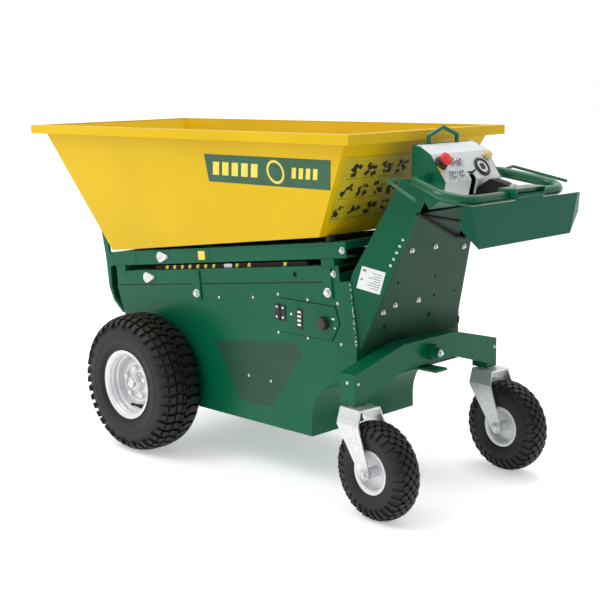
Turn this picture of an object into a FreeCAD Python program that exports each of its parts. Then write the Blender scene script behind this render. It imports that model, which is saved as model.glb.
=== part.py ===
import FreeCAD, Part
import math
import os

import Sketcher
from FreeCAD import Placement, Rotation, Vector

# Battery-electric power wheelbarrow: a sheet-metal body on two driven wheels, a rear axle beam
# that rocks on a lengthwise pin and carries two swivel castors, a scissor lift on an inclined
# rail frame, and a tub that tips forward over the front end of the lifted frame.
# Frame: +X towards the operator's end, +Y towards the operator's right, +Z up, millimetres.
# The origin is on the ground, midway along and across the machine.

SIZES = {
    # general
    "wall": 4, "slack": 0.3, "running": 0.05,
    # body outline, seen from the side
    "body_half": 250, "body_bottom": 165, "body_rear": 345, "body_nose_low": -520,
    "body_nose_mid": -602, "nose_mid_z": 413, "body_nose_top": -654, "nose_top_z": 546,
    "well_x": 496, "well_z": 215, "well_radius": 151, "back_x": 539, "weld_low_z": 480,
    "weld_top_x": 515, "weld_top_z": 684, "battery_top": 400,
    # service door and vent in the side panels
    "door_left": 212, "door_right": 452, "door_tip": 470, "door_low": 491, "door_high": 599,
    "door_leaf": 2.7, "door_border": 10, "latch_rod": 4, "door_knob_x": 407, "door_knob_z": 543,
    "vent_left": -117, "vent_right": 280, "vent_tip": 308, "vent_high": 452, "vent_tip_z": 431,
    "vent_low_left": 11, "vent_low_right": 159, "vent_low": 225, "vent_left_high": 413,
    # inclined rails and scissor lift, in the lift frame: u along the rails, v square to them
    "pin_x": -471, "pin_z": 594, "incline": 6.7, "rail_high": 50, "rail_wide": 46, "rail_wall": 4,
    "rail_front": -181, "rail_rear": 945, "top_rail_front": -197, "top_rail_rear": 982,
    "rail_rise": 71, "pin_offset": 89.493, "long_half": 380, "short_half": 290, "nest_angle": 6.0832,
    "arm_wide": 11, "arm_high": 36, "outer_arm": 184, "inner_arm": 168, "arm_pin": 12,
    "slide_radius": 19, "keeper_radius": 19, "keeper_reach": 36, "tie_radius": 13,
    # tub
    "rim_front": -979, "rim_rear": 625, "rim_half": 375, "rim_top": 1131, "rim_lip": 30,
    "rim_flange": 29, "tub_sheet": 3.5, "tub_low_z": 600, "tub_low_front": -630,
    "tub_low_rear": 291, "tub_low_half": 234, "floor_front_x": -676, "floor_front_z": 673,
    "floor_slope": 7.35,
    # forward tip pivot, on brackets at the nose of the lifted frame
    "tip_x": -741, "tip_z": 747, "tip_pin": 10, "bracket_half": 238, "bracket_wide": 8,
    # leaning tower and console
    "toe_slope": 0.602, "tower_lean": 0.352, "tower_back_low": 542, "tower_low_z": 470,
    "tower_front_low": 520, "front_low_z": 709, "front_lean": 0.4526, "tower_top": 990,
    "console_half": 137, "console_front": 662, "console_top": 1093, "slope_top_x": 729,
    "slope_top_z": 1066, "slope_low_x": 784, "slope_low_z": 988,
    # handlebar and hand guards
    "handle_x": 721, "handle_z": 995, "handle_tilt": 11.8, "handle_tube": 16, "handle_reach": 222,
    "handle_near_half": 209, "handle_far_half": 289, "handle_bend": 72, "elbow_bend": 32,
    "guard_rod": 5,
    # operator stop plate
    "plate_x": 970, "plate_top": 940, "plate_mid": 880, "plate_low": 820, "plate_top_half": 264,
    "plate_low_half": 226, "plate_sheet": 4, "plate_bend": 18, "plate_pivot_z": 952,
    "hinge_pin": 4,
    # rear axle beam and castors
    "castor_x": 596, "castor_half": 323, "beam_front": 562, "beam_back": 622, "beam_top": 485,
    "beam_low": 404, "beam_kink": 128, "beam_end": 350, "beam_end_top": 429, "post_low": 334,
    "post_in": 298, "rock_z": 442, "rock_pin": 15, "boss_radius": 25,
    "castor_radius": 150, "castor_wide": 88, "castor_rim": 67, "castor_trail": 99,
    "castor_angle": -5, "king_pin": 12, "king_top": 400, "fork_gap": 50, "fork_sheet": 5,
    "fork_neck": 36, "fork_splay": 285, "fork_top": 331, "axle_radius": 8,
    # driven wheels
    "drive_x": -398, "drive_radius": 242.5, "drive_half": 347, "drive_wide": 170,
    "drive_rim": 122, "spindle": 20,
}


class Size:
    """A size from the sheet, or worked out from it, with the expression that gives it."""

    def __init__(self, text, value):
        self.text = text
        self.value = value

    def __add__(self, other):
        other = size(other)
        return Size(f"({self.text} + {other.text})", self.value + other.value)

    def __sub__(self, other):
        other = size(other)
        return Size(f"({self.text} - {other.text})", self.value - other.value)

    def __mul__(self, other):
        other = size(other)
        return Size(f"({self.text} * {other.text})", self.value * other.value)

    def __truediv__(self, other):
        other = size(other)
        return Size(f"({self.text} / {other.text})", self.value / other.value)

    def __radd__(self, other):
        return size(other) + self

    def __rsub__(self, other):
        return size(other) - self

    def __rmul__(self, other):
        return size(other) * self

    def __neg__(self):
        return size(0) - self


def size(number):
    """A plain number as a Size, or a Size as it is."""
    if isinstance(number, Size):
        return number
    return Size(repr(float(number)), float(number))


def root_of(square):
    """The square root of a Size."""
    return Size(f"sqrt({square.text})", math.sqrt(square.value))


class Sheet:
    """The driving dimensions, each an attribute."""

    def __init__(self, document, sizes):
        self.table = document.addObject("Spreadsheet::Sheet", "Sizes")
        for row, (alias, number) in enumerate(sizes.items(), start=1):
            self.table.set(f"A{row}", alias.replace("_", " "))
            self.table.set(f"B{row}", str(number))
            self.table.setAlias(f"B{row}", alias)
            setattr(self, alias, Size(f"Sizes.{alias}", float(number)))
        document.recompute()


doc = FreeCAD.newDocument("power_wheelbarrow")
S = Sheet(doc, SIZES)
NODES = []


def bind(item, prop, number):
    """Bind a property to the expression of a Size."""
    item.setExpression(prop, size(number).text)


def node(label, item, place=None):
    """Name a finished sub-part, and put it in its place."""
    item.Label = label
    if place is not None:
        item.Placement = place
    NODES.append(item)
    return item


def box(x, y, z):
    """A box between a low and a high value along each axis."""
    solid = doc.addObject("Part::Box", "Box")
    spans = (("Length", "x", x), ("Width", "y", y), ("Height", "z", z))
    for prop, axis, (low, high) in spans:
        bind(solid, prop, size(high) - low)
        bind(solid, f"Placement.Base.{axis}", low)
    return solid


AXIS_TURNS = {
    "x": Rotation(Vector(0, 1, 0), 90),
    "y": Rotation(Vector(1, 0, 0), -90),
    "z": Rotation(),
}


def rod(axis, centre, radius, span):
    """A cylinder along one axis, with its centre given on the other two."""
    solid = doc.addObject("Part::Cylinder", "Rod")
    solid.Placement = Placement(Vector(), AXIS_TURNS[axis])
    bind(solid, "Radius", radius)
    bind(solid, "Height", size(span[1]) - span[0])
    bind(solid, f"Placement.Base.{axis}", span[0])
    for other, place in zip([a for a in "xyz" if a != axis], centre):
        bind(solid, f"Placement.Base.{other}", place)
    return solid


def ball(centre, radius):
    """A sphere."""
    solid = doc.addObject("Part::Sphere", "Ball")
    bind(solid, "Radius", radius)
    for axis, place in zip("xyz", centre):
        bind(solid, f"Placement.Base.{axis}", place)
    return solid


def bar(start, end, radius):
    """A round bar between two points."""
    start = [size(part) for part in start]
    end = [size(part) for part in end]
    steps = [high - low for low, high in zip(start, end)]
    run = Vector(*[step.value for step in steps])
    solid = doc.addObject("Part::Cylinder", "Bar")
    solid.Placement = Placement(Vector(), Rotation(Vector(0, 0, 1), run))
    bind(solid, "Radius", radius)
    bind(solid, "Height", root_of(steps[0] * steps[0] + steps[1] * steps[1] + steps[2] * steps[2]))
    for axis, place in zip("xyz", start):
        bind(solid, f"Placement.Base.{axis}", place)
    return solid


def fuse(*pieces):
    """One solid from several that overlap or touch."""
    joined = doc.addObject("Part::MultiFuse", "Fuse")
    joined.Shapes = list(pieces)
    joined.Refine = True
    return joined


def cut(base, *tools):
    """A solid with others taken away."""
    for tool in tools:
        less = doc.addObject("Part::Cut", "Cut")
        less.Base = base
        less.Tool = tool
        base = less
    return base


def common(first, second):
    """What two solids share."""
    shared = doc.addObject("Part::Common", "Common")
    shared.Base = first
    shared.Tool = second
    return shared


def group(*pieces):
    """Several separate solids in one sub-part, such as a set of like bolts."""
    together = doc.addObject("Part::Compound", "Group")
    together.Links = list(pieces)
    return together


PLANES = {"xy": ("XY_Plane", 1), "xz": ("XZ_Plane", -1), "yz": ("YZ_Plane", 1)}


def new_sketch(body, plane, offset):
    """A sketch on one of a body's own planes, moved along that plane's normal."""
    role, normal_sign = PLANES[plane]
    sketch = body.newObject("Sketcher::SketchObject", "Outline")
    origin = [item for item in body.Origin.OriginFeatures if item.Role == role]
    sketch.AttachmentSupport = (origin[0], "")
    sketch.MapMode = "FlatFace"
    bind(sketch, "AttachmentOffset.Base.z", size(offset) * normal_sign)
    return sketch


def draw_side(start, end, radius):
    """A straight side, or an arc that turns left for a positive radius and right for a negative one."""
    if radius is None:
        return Part.LineSegment(start, end), (1, 2)
    chord = end - start
    left = Vector(-chord.y, chord.x, 0).normalize()
    turn = math.copysign(1, radius)
    height = math.sqrt(max(radius * radius - chord.Length ** 2 / 4, 0))
    centre = (start + end) * 0.5 + left * (height * turn)
    first, last, ends = (start, end, (1, 2)) if turn > 0 else (end, start, (2, 1))
    angles = [math.atan2(point.y - centre.y, point.x - centre.x) for point in (first, last)]
    circle = Part.Circle(centre, Vector(0, 0, 1), abs(radius))
    return Part.ArcOfCircle(circle, angles[0], angles[1]), ends


def pin_point(sketch, side, end, place):
    """Hold one end of a side at its two coordinates, both bound to the sheet."""
    for kind, number, axis in (("DistanceX", place[0], -2), ("DistanceY", place[1], -1)):
        if number.value == 0:
            sketch.addConstraint(Sketcher.Constraint("PointOnObject", side, end, axis))
            continue
        index = sketch.addConstraint(Sketcher.Constraint(kind, -1, 1, side, end, number.value))
        sketch.setExpression(f"Constraints[{index}]", number.text)


def draw_loop(sketch, corners):
    """A closed loop: a corner is (x, y), or (x, y, radius) where an arc leaves it."""
    corners = [[size(part) for part in corner] for corner in corners]
    points = [Vector(corner[0].value, corner[1].value, 0) for corner in corners]
    sides = []
    for index, corner in enumerate(corners):
        end = points[(index + 1) % len(points)]
        radius = corner[2].value if len(corner) == 3 else None
        shape, ends = draw_side(points[index], end, radius)
        side = sketch.addGeometry(shape, False)
        sides.append((side, ends))
        pin_point(sketch, side, ends[0], corner[:2])
        if radius is not None:
            bend = sketch.addConstraint(Sketcher.Constraint("Radius", side, abs(radius)))
            sign = "" if radius > 0 else "-"
            sketch.setExpression(f"Constraints[{bend}]", sign + corner[2].text)
    for index, (side, ends) in enumerate(sides):
        following, following_ends = sides[(index + 1) % len(sides)]
        meet = Sketcher.Constraint("Coincident", side, ends[1], following, following_ends[0])
        sketch.addConstraint(meet)


def draw_circle(sketch, x, y, radius):
    """A circle held by its centre and radius."""
    x, y, radius = size(x), size(y), size(radius)
    circle = Part.Circle(Vector(x.value, y.value, 0), Vector(0, 0, 1), radius.value)
    side = sketch.addGeometry(circle, False)
    pin_point(sketch, side, 3, (x, y))
    index = sketch.addConstraint(Sketcher.Constraint("Radius", side, radius.value))
    sketch.setExpression(f"Constraints[{index}]", radius.text)


def plate(plane, span, outline, holes=(), circles=()):
    """A flat piece: an outline with holes in one plane, between two values along its normal."""
    low, high = span
    body = doc.addObject("PartDesign::Body", "Plate")
    sketch = new_sketch(body, plane, high if plane == "xz" else low)
    draw_loop(sketch, outline)
    for hole in holes:
        draw_loop(sketch, hole)
    for circle in circles:
        draw_circle(sketch, *circle)
    pad = body.newObject("PartDesign::Pad", "Pad")
    pad.Profile = sketch
    bind(pad, "Length", size(high) - low)
    body.Tip = pad
    return body


def turned(profile, place=None):
    """A ring or disc turned about the Y axis: the profile's corners are (radius, axial place)."""
    body = doc.addObject("PartDesign::Body", "Turned")
    sketch = new_sketch(body, "xy", 0)
    draw_loop(sketch, profile)
    spin = body.newObject("PartDesign::Revolution", "Revolution")
    spin.Profile = sketch
    spin.ReferenceAxis = (sketch, ["V_Axis"])
    spin.Angle = 360
    body.Tip = spin
    if place is not None:
        body.Placement = place
    return body


def both_sides(make):
    """The left piece at -Y and the right one at +Y, each made for its own side sign."""
    return [make(-1), make(1)]


def spread(low, high, side):
    """A span of distances from the centre plane, as a low and high Y on one side."""
    return (-high, -low) if side < 0 else (low, high)


SIDE_NAMES = {-1: "left", 1: "right"}


# ---------------------------------------------------------------- body

def body_outline(inset):
    """The body seen from the side, drawn in by an inset."""
    return [
        (S.body_rear - inset, S.body_bottom + inset),
        (S.body_rear - inset, S.well_z, -(S.well_radius + inset)),
        (S.well_x, S.well_z + S.well_radius + inset),
        (S.back_x - inset, S.well_z + S.well_radius + inset),
        (S.back_x - inset, S.weld_low_z),
        (S.weld_top_x - inset, S.weld_top_z - inset),
        (S.body_nose_top + inset, S.nose_top_z - inset),
        (S.body_nose_mid + inset, S.nose_mid_z),
        (S.body_nose_low + inset, S.body_bottom + inset),
    ]


def door_outline(inset):
    """The service door, with its tip at the rear."""
    middle = (S.door_low + S.door_high) / 2
    return [
        (S.door_left + inset, S.door_low + inset),
        (S.door_right - inset - 14, S.door_low + inset),
        (S.door_tip - inset, middle),
        (S.door_right - inset, S.door_high - inset),
        (S.door_left + inset, S.door_high - inset),
    ]


def vent_outline():
    """The vent in a side panel: five corners."""
    return [
        (S.vent_low_left, S.vent_low), (S.vent_low_right, S.vent_low + 3),
        (S.vent_tip, S.vent_tip_z), (S.vent_right, S.vent_high + 8),
        (S.vent_left, S.vent_left_high),
    ]


def body_wrap():
    """The folded sheet round the body: bottom, castor well, back, top and nose."""
    half = S.body_half - S.wall
    band = plate("xz", (-half, half), body_outline(0), holes=[body_outline(S.wall)])
    return node("body_wrap", band)


def body_block():
    """The whole body as a solid, to cut other pieces clear of it."""
    return plate("xz", (-S.body_half, S.body_half), body_outline(0))


def side_panel(side):
    """One flat side of the body, with its vent opening, and the door opening on the left."""
    holes = [vent_outline()]
    if side < 0:
        holes.append(door_outline(S.door_border))
    span = spread(S.body_half - S.wall, S.body_half, side)
    spindle_hole = (S.drive_x, S.drive_radius, S.spindle + 4)
    panel = plate("xz", span, body_outline(0), holes=holes, circles=[spindle_hole])
    return node(f"side_panel_{SIDE_NAMES[side]}", panel)


def vent_screens():
    """The perforated screens that fill the vents, made plain."""
    screens = both_sides(lambda side: plate(
        "xz", spread(S.body_half - 2, S.body_half, side), vent_outline()))
    return node("vent_screens", group(*screens))


def service_door():
    """The hinged door leaf, which lies on the left panel."""
    face = S.body_half + S.slack
    latch_hole = (S.door_knob_x, S.door_knob_z, S.latch_rod + S.running)
    leaf = plate("xz", (-(face + S.door_leaf), -face), door_outline(0), circles=[latch_hole])
    return node("service_door", leaf)


HINGE_LOW = 527
HINGE_HIGH = 579
HINGE_OFFSET = 6.5


def door_hinge():
    """The black hinge: one flap on the panel with a knuckle and pin, clear of the door."""
    axis_y = -(S.body_half + HINGE_OFFSET)
    flap = box((S.door_left - 26, S.door_left - 3), (-(S.body_half + 3), -S.body_half),
               (HINGE_LOW, HINGE_HIGH))
    knuckles = [rod("z", (S.door_left - 1.5, axis_y), 3.2, span)
                for span in ((HINGE_LOW, HINGE_LOW + 16), (HINGE_HIGH - 16, HINGE_HIGH))]
    arms = [box((S.door_left - 6, S.door_left - 1.5), (axis_y, -(S.body_half + 1)), span)
            for span in ((HINGE_LOW, HINGE_LOW + 16), (HINGE_HIGH - 16, HINGE_HIGH))]
    pin = rod("z", (S.door_left - 1.5, axis_y), 1.6, (HINGE_LOW, HINGE_HIGH))
    return node("door_hinge", fuse(flap, *arms, *knuckles, pin))


def door_hinge_leaf():
    """The hinge's other flap, screwed to the door."""
    axis_y = -(S.body_half + HINGE_OFFSET)
    face = S.body_half + S.slack + S.door_leaf
    span = (HINGE_LOW + 16.5, HINGE_HIGH - 16.5)
    flap = box((S.door_left + 3, S.door_left + 25), (-(face + 2.5), -face), (HINGE_LOW, HINGE_HIGH))
    arm = box((S.door_left - 1.5, S.door_left + 4), (-(face + 2.5), -(face + 0.4)), span)
    knuckle = rod("z", (S.door_left - 1.5, axis_y), 3.2, span)
    bore = rod("z", (S.door_left - 1.5, axis_y), 1.65, span)
    return node("door_hinge_leaf", cut(fuse(flap, arm, knuckle), bore))


def charge_indicator():
    """The strip of four lights on the door."""
    face = -(S.body_half + S.slack + S.door_leaf)
    surround = box((287, 312), (face - 2, face), (510, 577))
    return node("charge_indicator", surround)


def door_knob():
    """The turning latch knob on the door."""
    face = S.body_half + S.slack + S.door_leaf
    rear = S.door_leaf + S.slack + 0.4
    knob = turned([
        (0, -(rear + 2)), (7, -(rear + 2)), (7, -rear), (S.latch_rod, -rear), (S.latch_rod, 0),
        (21, 0), (19, 16), (16, 19), (0, 19)])
    knob.Placement = Placement(
        Vector(S.door_knob_x.value, -(face.value + S.slack.value), S.door_knob_z.value),
        Rotation(Vector(0, 0, 1), 180))
    return node("door_knob", knob)


def internal_units():
    """Battery, drive controller and hydraulic power unit, inside the body."""
    battery = box((-120, 250), (-190, 190), (S.body_bottom + S.wall, S.battery_top))
    node("battery_pack", battery)
    controller = box((-100, 60), (30, 180), (S.battery_top, S.battery_top + 60))
    node("motor_controller", controller)
    pump = rod("y", (190, S.battery_top + 45), 45, (-180, 0))
    block = box((150, 230), (0, 60), (S.battery_top, S.battery_top + 90))
    node("hydraulic_unit", fuse(pump, block))


def gear_motor(side):
    """A gear motor across the body, its gear case, and the spindle the wheel turns on."""
    motor = rod("y", (S.drive_x, S.drive_radius), 62, spread(20, 170, side))
    case = rod("y", (S.drive_x, S.drive_radius), 72, spread(170, S.body_half - S.wall, side))
    spindle = rod("y", (S.drive_x, S.drive_radius), S.spindle, spread(200, 384, side))
    label = f"gear_motor_{SIDE_NAMES[side]}"
    return node(label, fuse(motor, case, spindle))


# ---------------------------------------------------------------- lower and upper rails

LIFT = Placement(Vector(S.pin_x.value, 0, S.pin_z.value), Rotation(Vector(0, 1, 0), -S.incline.value))


def channel(side, span, middle):
    """One rail: a channel section open towards the machine's centre."""
    low = middle - S.rail_high / 2
    high = middle + S.rail_high / 2
    outer = box(span, spread(S.body_half - S.rail_wide, S.body_half, side), (low, high))
    hollow = box((span[0] - 1, span[1] + 1),
                 spread(S.body_half - S.rail_wide - 1, S.body_half - S.rail_wall, side),
                 (low + S.rail_wall, high - S.rail_wall))
    return cut(outer, hollow)


def cross_tube(place, height):
    """A square tube across the frame between the two channels."""
    reach = S.body_half - S.rail_wide + 1
    return box((place - 15, place + 15), (-reach, reach), (height - 12, height + 12))


TAB_PLACES = (-202, 418)


def lift_u(x):
    """How far along the lower rail's own axis a place along the machine is."""
    return (x - S.pin_x.value) / math.cos(math.radians(S.incline.value))


def rail_tabs():
    """Four lugs that hang from the lower rails over the side panels."""
    tabs = []
    for x in TAB_PLACES:
        for side in (-1, 1):
            tabs.append(box((lift_u(x) - 20, lift_u(x) + 20),
                            spread(S.body_half - 1, S.body_half + 5, side), (-24, 20)))
            tabs.append(box((lift_u(x) - 20, lift_u(x) + 20),
                            spread(S.body_half + 0.05, S.body_half + 5, side), (-78, -20)))
    return tabs


def rest_pads():
    """Four folded pads on the lower rails that carry the lowered top frame."""
    top = S.rail_rise - S.rail_high / 2 - S.slack
    pads = []
    for place in (S.rail_front + 30, S.rail_rear - 42):
        for side in (-1, 1):
            pads.append(box((place - 27, place + 27),
                            spread(S.body_half - 40, S.body_half + 2, side), (S.rail_high / 2 - 1, top)))
            pads.append(box((place - 27, place + 27),
                            spread(S.body_half - 1, S.body_half + 2, side), (S.rail_high / 2 - 8, top)))
    return pads


def lower_rail_frame():
    """The two lower channels, joined at the ends, with their lugs and rest pads."""
    span = (S.rail_front, S.rail_rear)
    rails = both_sides(lambda side: channel(side, span, size(0)))
    ties = [box((place - 15, place + 15), (-(S.body_half - 5), S.body_half - 5), (-25, -1))
            for place in (S.rail_front + 20, S.rail_rear - 20)]
    access = rod("y", (2 * S.long_half * 0.9944, 0), 9, (-260, 260))
    pin_hole = rod("y", (0, 0), S.arm_pin, (-260, 260))
    welded = fuse(*rails, *ties, *rail_tabs(), *rest_pads())
    return node("lower_rail_frame", cut(welded, access, pin_hole), LIFT)


def upper_rail_frame():
    """The two channels of the lifted frame, with cross tubes."""
    span = (S.top_rail_front, S.top_rail_rear)
    rails = both_sides(lambda side: channel(side, span, S.rail_rise))
    ties = [box((place - 15, place + 15), (-(S.body_half - 5), S.body_half - 5),
                (S.rail_rise + 1, S.rail_rise + 25))
            for place in (S.top_rail_front + 16, S.top_rail_rear - 20)]
    pin_hole = rod("y", (S.pin_offset, S.rail_rise), S.arm_pin, (-260, 260))
    return node("upper_rail_frame", cut(fuse(*rails, *ties), pin_hole), LIFT)


def rail_pin(side, u, v, inner):
    """A pin through a rail's web, with a teardrop keeper plate and its small bolt outside."""
    shank = rod("y", (u, v), S.arm_pin, spread(inner, S.body_half, side))
    span = spread(S.body_half, S.body_half + 6, side)
    tip = u + S.keeper_reach
    round_end = rod("y", (u, v), S.keeper_radius, span)
    tail = plate("xz", span, [(u + 5, v - 18), (tip, v - 6.5), (tip, v + 6.5), (u + 5, v + 18)])
    point = rod("y", (tip, v), 6.5, span)
    bolt = rod("y", (tip - 3, v), 4.5, spread(S.body_half + 6, S.body_half + 9, side))
    return fuse(shank, round_end, tail, point, bolt)


def pivot_pins():
    """The front pins of the lower rails, and those of the lifted frame."""
    lower = both_sides(lambda side: rail_pin(side, 0, 0, S.outer_arm + 0.5))
    upper = both_sides(lambda side: rail_pin(side, S.pin_offset, S.rail_rise, S.inner_arm + 0.5))
    node("lower_pivot_pins", group(*lower), LIFT)
    node("upper_pivot_pins", group(*upper), LIFT)


def arm_bar(side, offset, behind, ahead):
    """One flat arm along its own axis, round-ended, a distance behind and ahead of the centre pin."""
    half = S.arm_high / 2
    span = spread(offset, offset + S.arm_wide, side)
    flat = box((-behind, ahead), span, (-half, half))
    ends = [rod("y", (place, 0), half, span) for place in (-behind, ahead)]
    return fuse(flat, *ends)


def arm_placement(turn):
    """The place of an arm pair whose centre pin is the scissor's, turned from the rails' line."""
    angle = math.radians(S.nest_angle.value)
    u = S.long_half.value * math.cos(angle)
    v = S.long_half.value * math.sin(angle)
    local = Placement(Vector(u, 0, v), Rotation(Vector(0, 1, 0), -turn * S.nest_angle.value))
    return LIFT.multiply(local)


def scissor_outer_arms():
    """The arms pinned to the lower rails, with their slide rollers in the lifted frame."""
    pieces = []
    bores = []
    for side in (-1, 1):
        pieces.append(arm_bar(side, S.outer_arm, S.long_half, S.short_half))
        pieces.append(rod("y", (S.short_half, 0), S.slide_radius,
                          spread(S.outer_arm, S.body_half - S.rail_wall - 1, side)))
        pieces.append(rod("y", (0, 0), S.arm_pin,
                          spread(S.inner_arm - 6, S.outer_arm + S.arm_wide + 4, side)))
        bores.append(rod("y", (-S.long_half, 0), S.arm_pin + S.running,
                         spread(S.outer_arm, S.outer_arm + S.arm_wide + 5, side)))
    ties = [rod("y", (place, 0), S.tie_radius, (-S.outer_arm, S.outer_arm))
            for place in (-S.long_half, S.short_half)]
    return node("scissor_outer_arms", cut(fuse(*pieces, *ties), *bores), arm_placement(1))


def scissor_inner_arms():
    """The arms pinned to the lifted frame, with their slide rollers in the lower rails."""
    pieces = []
    bores = []
    for side in (-1, 1):
        pieces.append(arm_bar(side, S.inner_arm, S.short_half, S.long_half))
        pieces.append(rod("y", (S.long_half, 0), S.arm_pin,
                          spread(S.inner_arm, S.body_half - S.rail_wall - 26, side)))
        pieces.append(rod("y", (S.long_half, 0), S.slide_radius,
                          spread(S.outer_arm + S.arm_wide + 5, S.body_half - S.rail_wall - 1, side)))
        bores.append(rod("y", (0, 0), S.arm_pin + S.running,
                         spread(S.inner_arm - 1, S.inner_arm + S.arm_wide + 1, side)))
        bores.append(rod("y", (-S.short_half, 0), S.arm_pin + S.running,
                         spread(S.inner_arm, S.inner_arm + S.arm_wide + 1, side)))
    ties = [rod("y", (place, 0), S.tie_radius, (-S.inner_arm, S.inner_arm))
            for place in (-S.short_half, S.long_half)]
    return node("scissor_inner_arms", cut(fuse(*pieces, *ties), *bores), arm_placement(-1))


# ---------------------------------------------------------------- tub

def tub_block(inset, drop):
    """The tub's four sloping sides as a solid frustum, drawn in by an inset."""
    solid = doc.addObject("Part::Wedge", "Frustum")
    solid.Placement = Placement(Vector(), Rotation(Vector(1, 0, 0), 90))
    top_front = S.rim_front + S.rim_flange + inset
    top_rear = S.rim_rear - S.rim_flange - inset
    top_half = S.rim_half - S.rim_flange - inset
    bounds = {
        "Xmin": S.tub_low_front + inset, "Xmax": S.tub_low_rear - inset,
        "Zmin": -(S.tub_low_half - inset), "Zmax": S.tub_low_half - inset,
        "X2min": top_front, "X2max": top_rear, "Z2min": -top_half, "Z2max": top_half,
        "Ymin": S.tub_low_z - drop, "Ymax": S.rim_top - drop,
    }
    for prop, number in bounds.items():
        bind(solid, prop, number)
    return solid


def floor_cutter(lift):
    """All that lies under the tub's inclined floor."""
    below = group(box((-200, 1500), (-500, 500), (-400, 0)))
    angle = Rotation(Vector(0, 1, 0), -S.floor_slope.value)
    base = Vector(S.floor_front_x.value, 0, S.floor_front_z.value + lift)
    below.Placement = Placement(base, angle)
    return below


def tub_lugs():
    """Two lugs on the tub's front wall that turn on the tip pins."""
    x = S.tip_x
    z = S.tip_z
    lugs = []
    for side in (-1, 1):
        span = spread(S.bracket_half - 40, S.bracket_half - 12, side)
        lugs.append(plate("xz", span, [
            (x - 17, z, 17), (x + 14.2, z - 9.3), (x + 44, z - 34), (x - 6.5, z + 50),
            (x - 17, z + 30)],
            circles=[(x, z, S.tip_pin + S.running)]))
    return lugs


def tub_shell():
    """The open sheet tub with its two pivot lugs."""
    outer = cut(tub_block(0, 0), floor_cutter(0))
    inner = cut(tub_block(S.tub_sheet, 0), floor_cutter(S.tub_sheet.value))
    lid = box((-1000, 700), (-400, 400), (S.rim_top - S.tub_sheet, S.rim_top + 10))
    return node("tub_shell", fuse(cut(outer, inner, lid), *tub_lugs()))


def tub_rim():
    """The rim: a flange turned out from the walls and a lip turned down."""
    sheet = S.tub_sheet
    flange = S.rim_flange
    top = box((S.rim_front, S.rim_rear), (-S.rim_half, S.rim_half), (S.rim_top - S.rim_lip, S.rim_top))
    hollow = box((S.rim_front + sheet, S.rim_rear - sheet),
                 (-(S.rim_half - sheet), S.rim_half - sheet),
                 (S.rim_top - S.rim_lip - 1, S.rim_top - sheet))
    mouth = box((S.rim_front + flange + sheet, S.rim_rear - flange - sheet),
                (-(S.rim_half - flange - sheet), S.rim_half - flange - sheet),
                (S.rim_top - S.rim_lip - 2, S.rim_top + 1))
    return node("tub_rim", cut(top, hollow, mouth))


def tip_brackets(rails):
    """Two curved plates at the nose of the lifted frame, joined by an apron, with the tip pins."""
    x = S.tip_x
    z = S.tip_z
    front_edge = [(x - 13, z - 10), (x + 8, z - 104), (x + 21, z - 216), (x + 46, z - 264), (x + 97, z - 305)]
    outline = [(x + 17, z, 17), (x - 16, z + 5.7), *front_edge,
               (x + 103, z - 298), (x + 56, z - 258), (x + 37, z - 212), (x + 34, z - 140),
               (x + 57, z - 129.7), (x + 96, z - 125.1), (x + 96, z - 99.9), (x + 57, z - 104.5),
               (x + 30, z - 82)]
    plates = []
    for side in (-1, 1):
        span = spread(S.bracket_half - S.bracket_wide, S.bracket_half, side)
        plates.append(plate("xz", span, outline))
        plates.append(rod("y", (x, z), S.tip_pin, spread(S.bracket_half - 44, S.bracket_half, side)))
    apron_edge = front_edge[1:]
    inner_edge = [(px + 3, pz + 2) for px, pz in reversed(apron_edge)]
    apron = plate("xz", (-(S.bracket_half - 1), S.bracket_half - 1), apron_edge + inner_edge)
    return node("tip_brackets", cut(fuse(*plates, apron), rails))


def tub_rests():
    """Two stops on the lifted frame that the tub's rear lies on."""
    top = S.rail_rise + S.rail_high / 2
    stops = [rod("z", (905, side * 232), 13, (top, top + 18.2)) for side in (-1, 1)]
    return node("tub_rests", group(*stops), LIFT)


# ---------------------------------------------------------------- tower and console

def footprint(inset):
    """The tower seen from above: its sides toe in towards the rear."""
    reach = 220
    wide = S.body_half - inset
    narrow = S.body_half - S.toe_slope * reach - inset
    front = S.weld_top_x
    return plate("xy", (S.tower_low_z - 8, S.tower_top + 4), [
        (front, -wide), (front + reach, -narrow), (front + reach, narrow), (front, wide)])


def back_x(z, inward=0):
    """The tower's rear face at a height."""
    return S.tower_back_low + S.tower_lean * (size(z) - S.tower_low_z) - inward


def front_x(z, inward=0):
    """The tower's front face at a height."""
    return S.tower_front_low + S.front_lean * (size(z) - S.front_low_z) + inward


def tower_sides():
    """The tower's two toed-in side plates and its leaning front plate."""
    outline = [
        (S.back_x + 0.5, S.tower_low_z + 4), (back_x(880), 880), (back_x(890) + 20, 940),
        (back_x(890) + 24, S.tower_top), (front_x(S.tower_top), S.tower_top),
        (front_x(709), 709), (S.weld_top_x + 0.3, S.weld_top_z),
    ]
    block = plate("xz", (-S.body_half, S.body_half), outline)
    walls = common(block, cut(footprint(0), footprint(S.wall * 1.17)))
    front = common(plate("xz", (-S.body_half, S.body_half), [
        (front_x(700), 700), (front_x(S.tower_top), S.tower_top),
        (front_x(S.tower_top, S.wall), S.tower_top), (front_x(700, S.wall), 700)]),
        footprint(S.wall))
    return node("tower_sides", cut(fuse(walls, front), console_block(0), body_block()))


REAR_HOLES = ((-147, 678), (32, 678), (56, 611), (159, 611))


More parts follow.
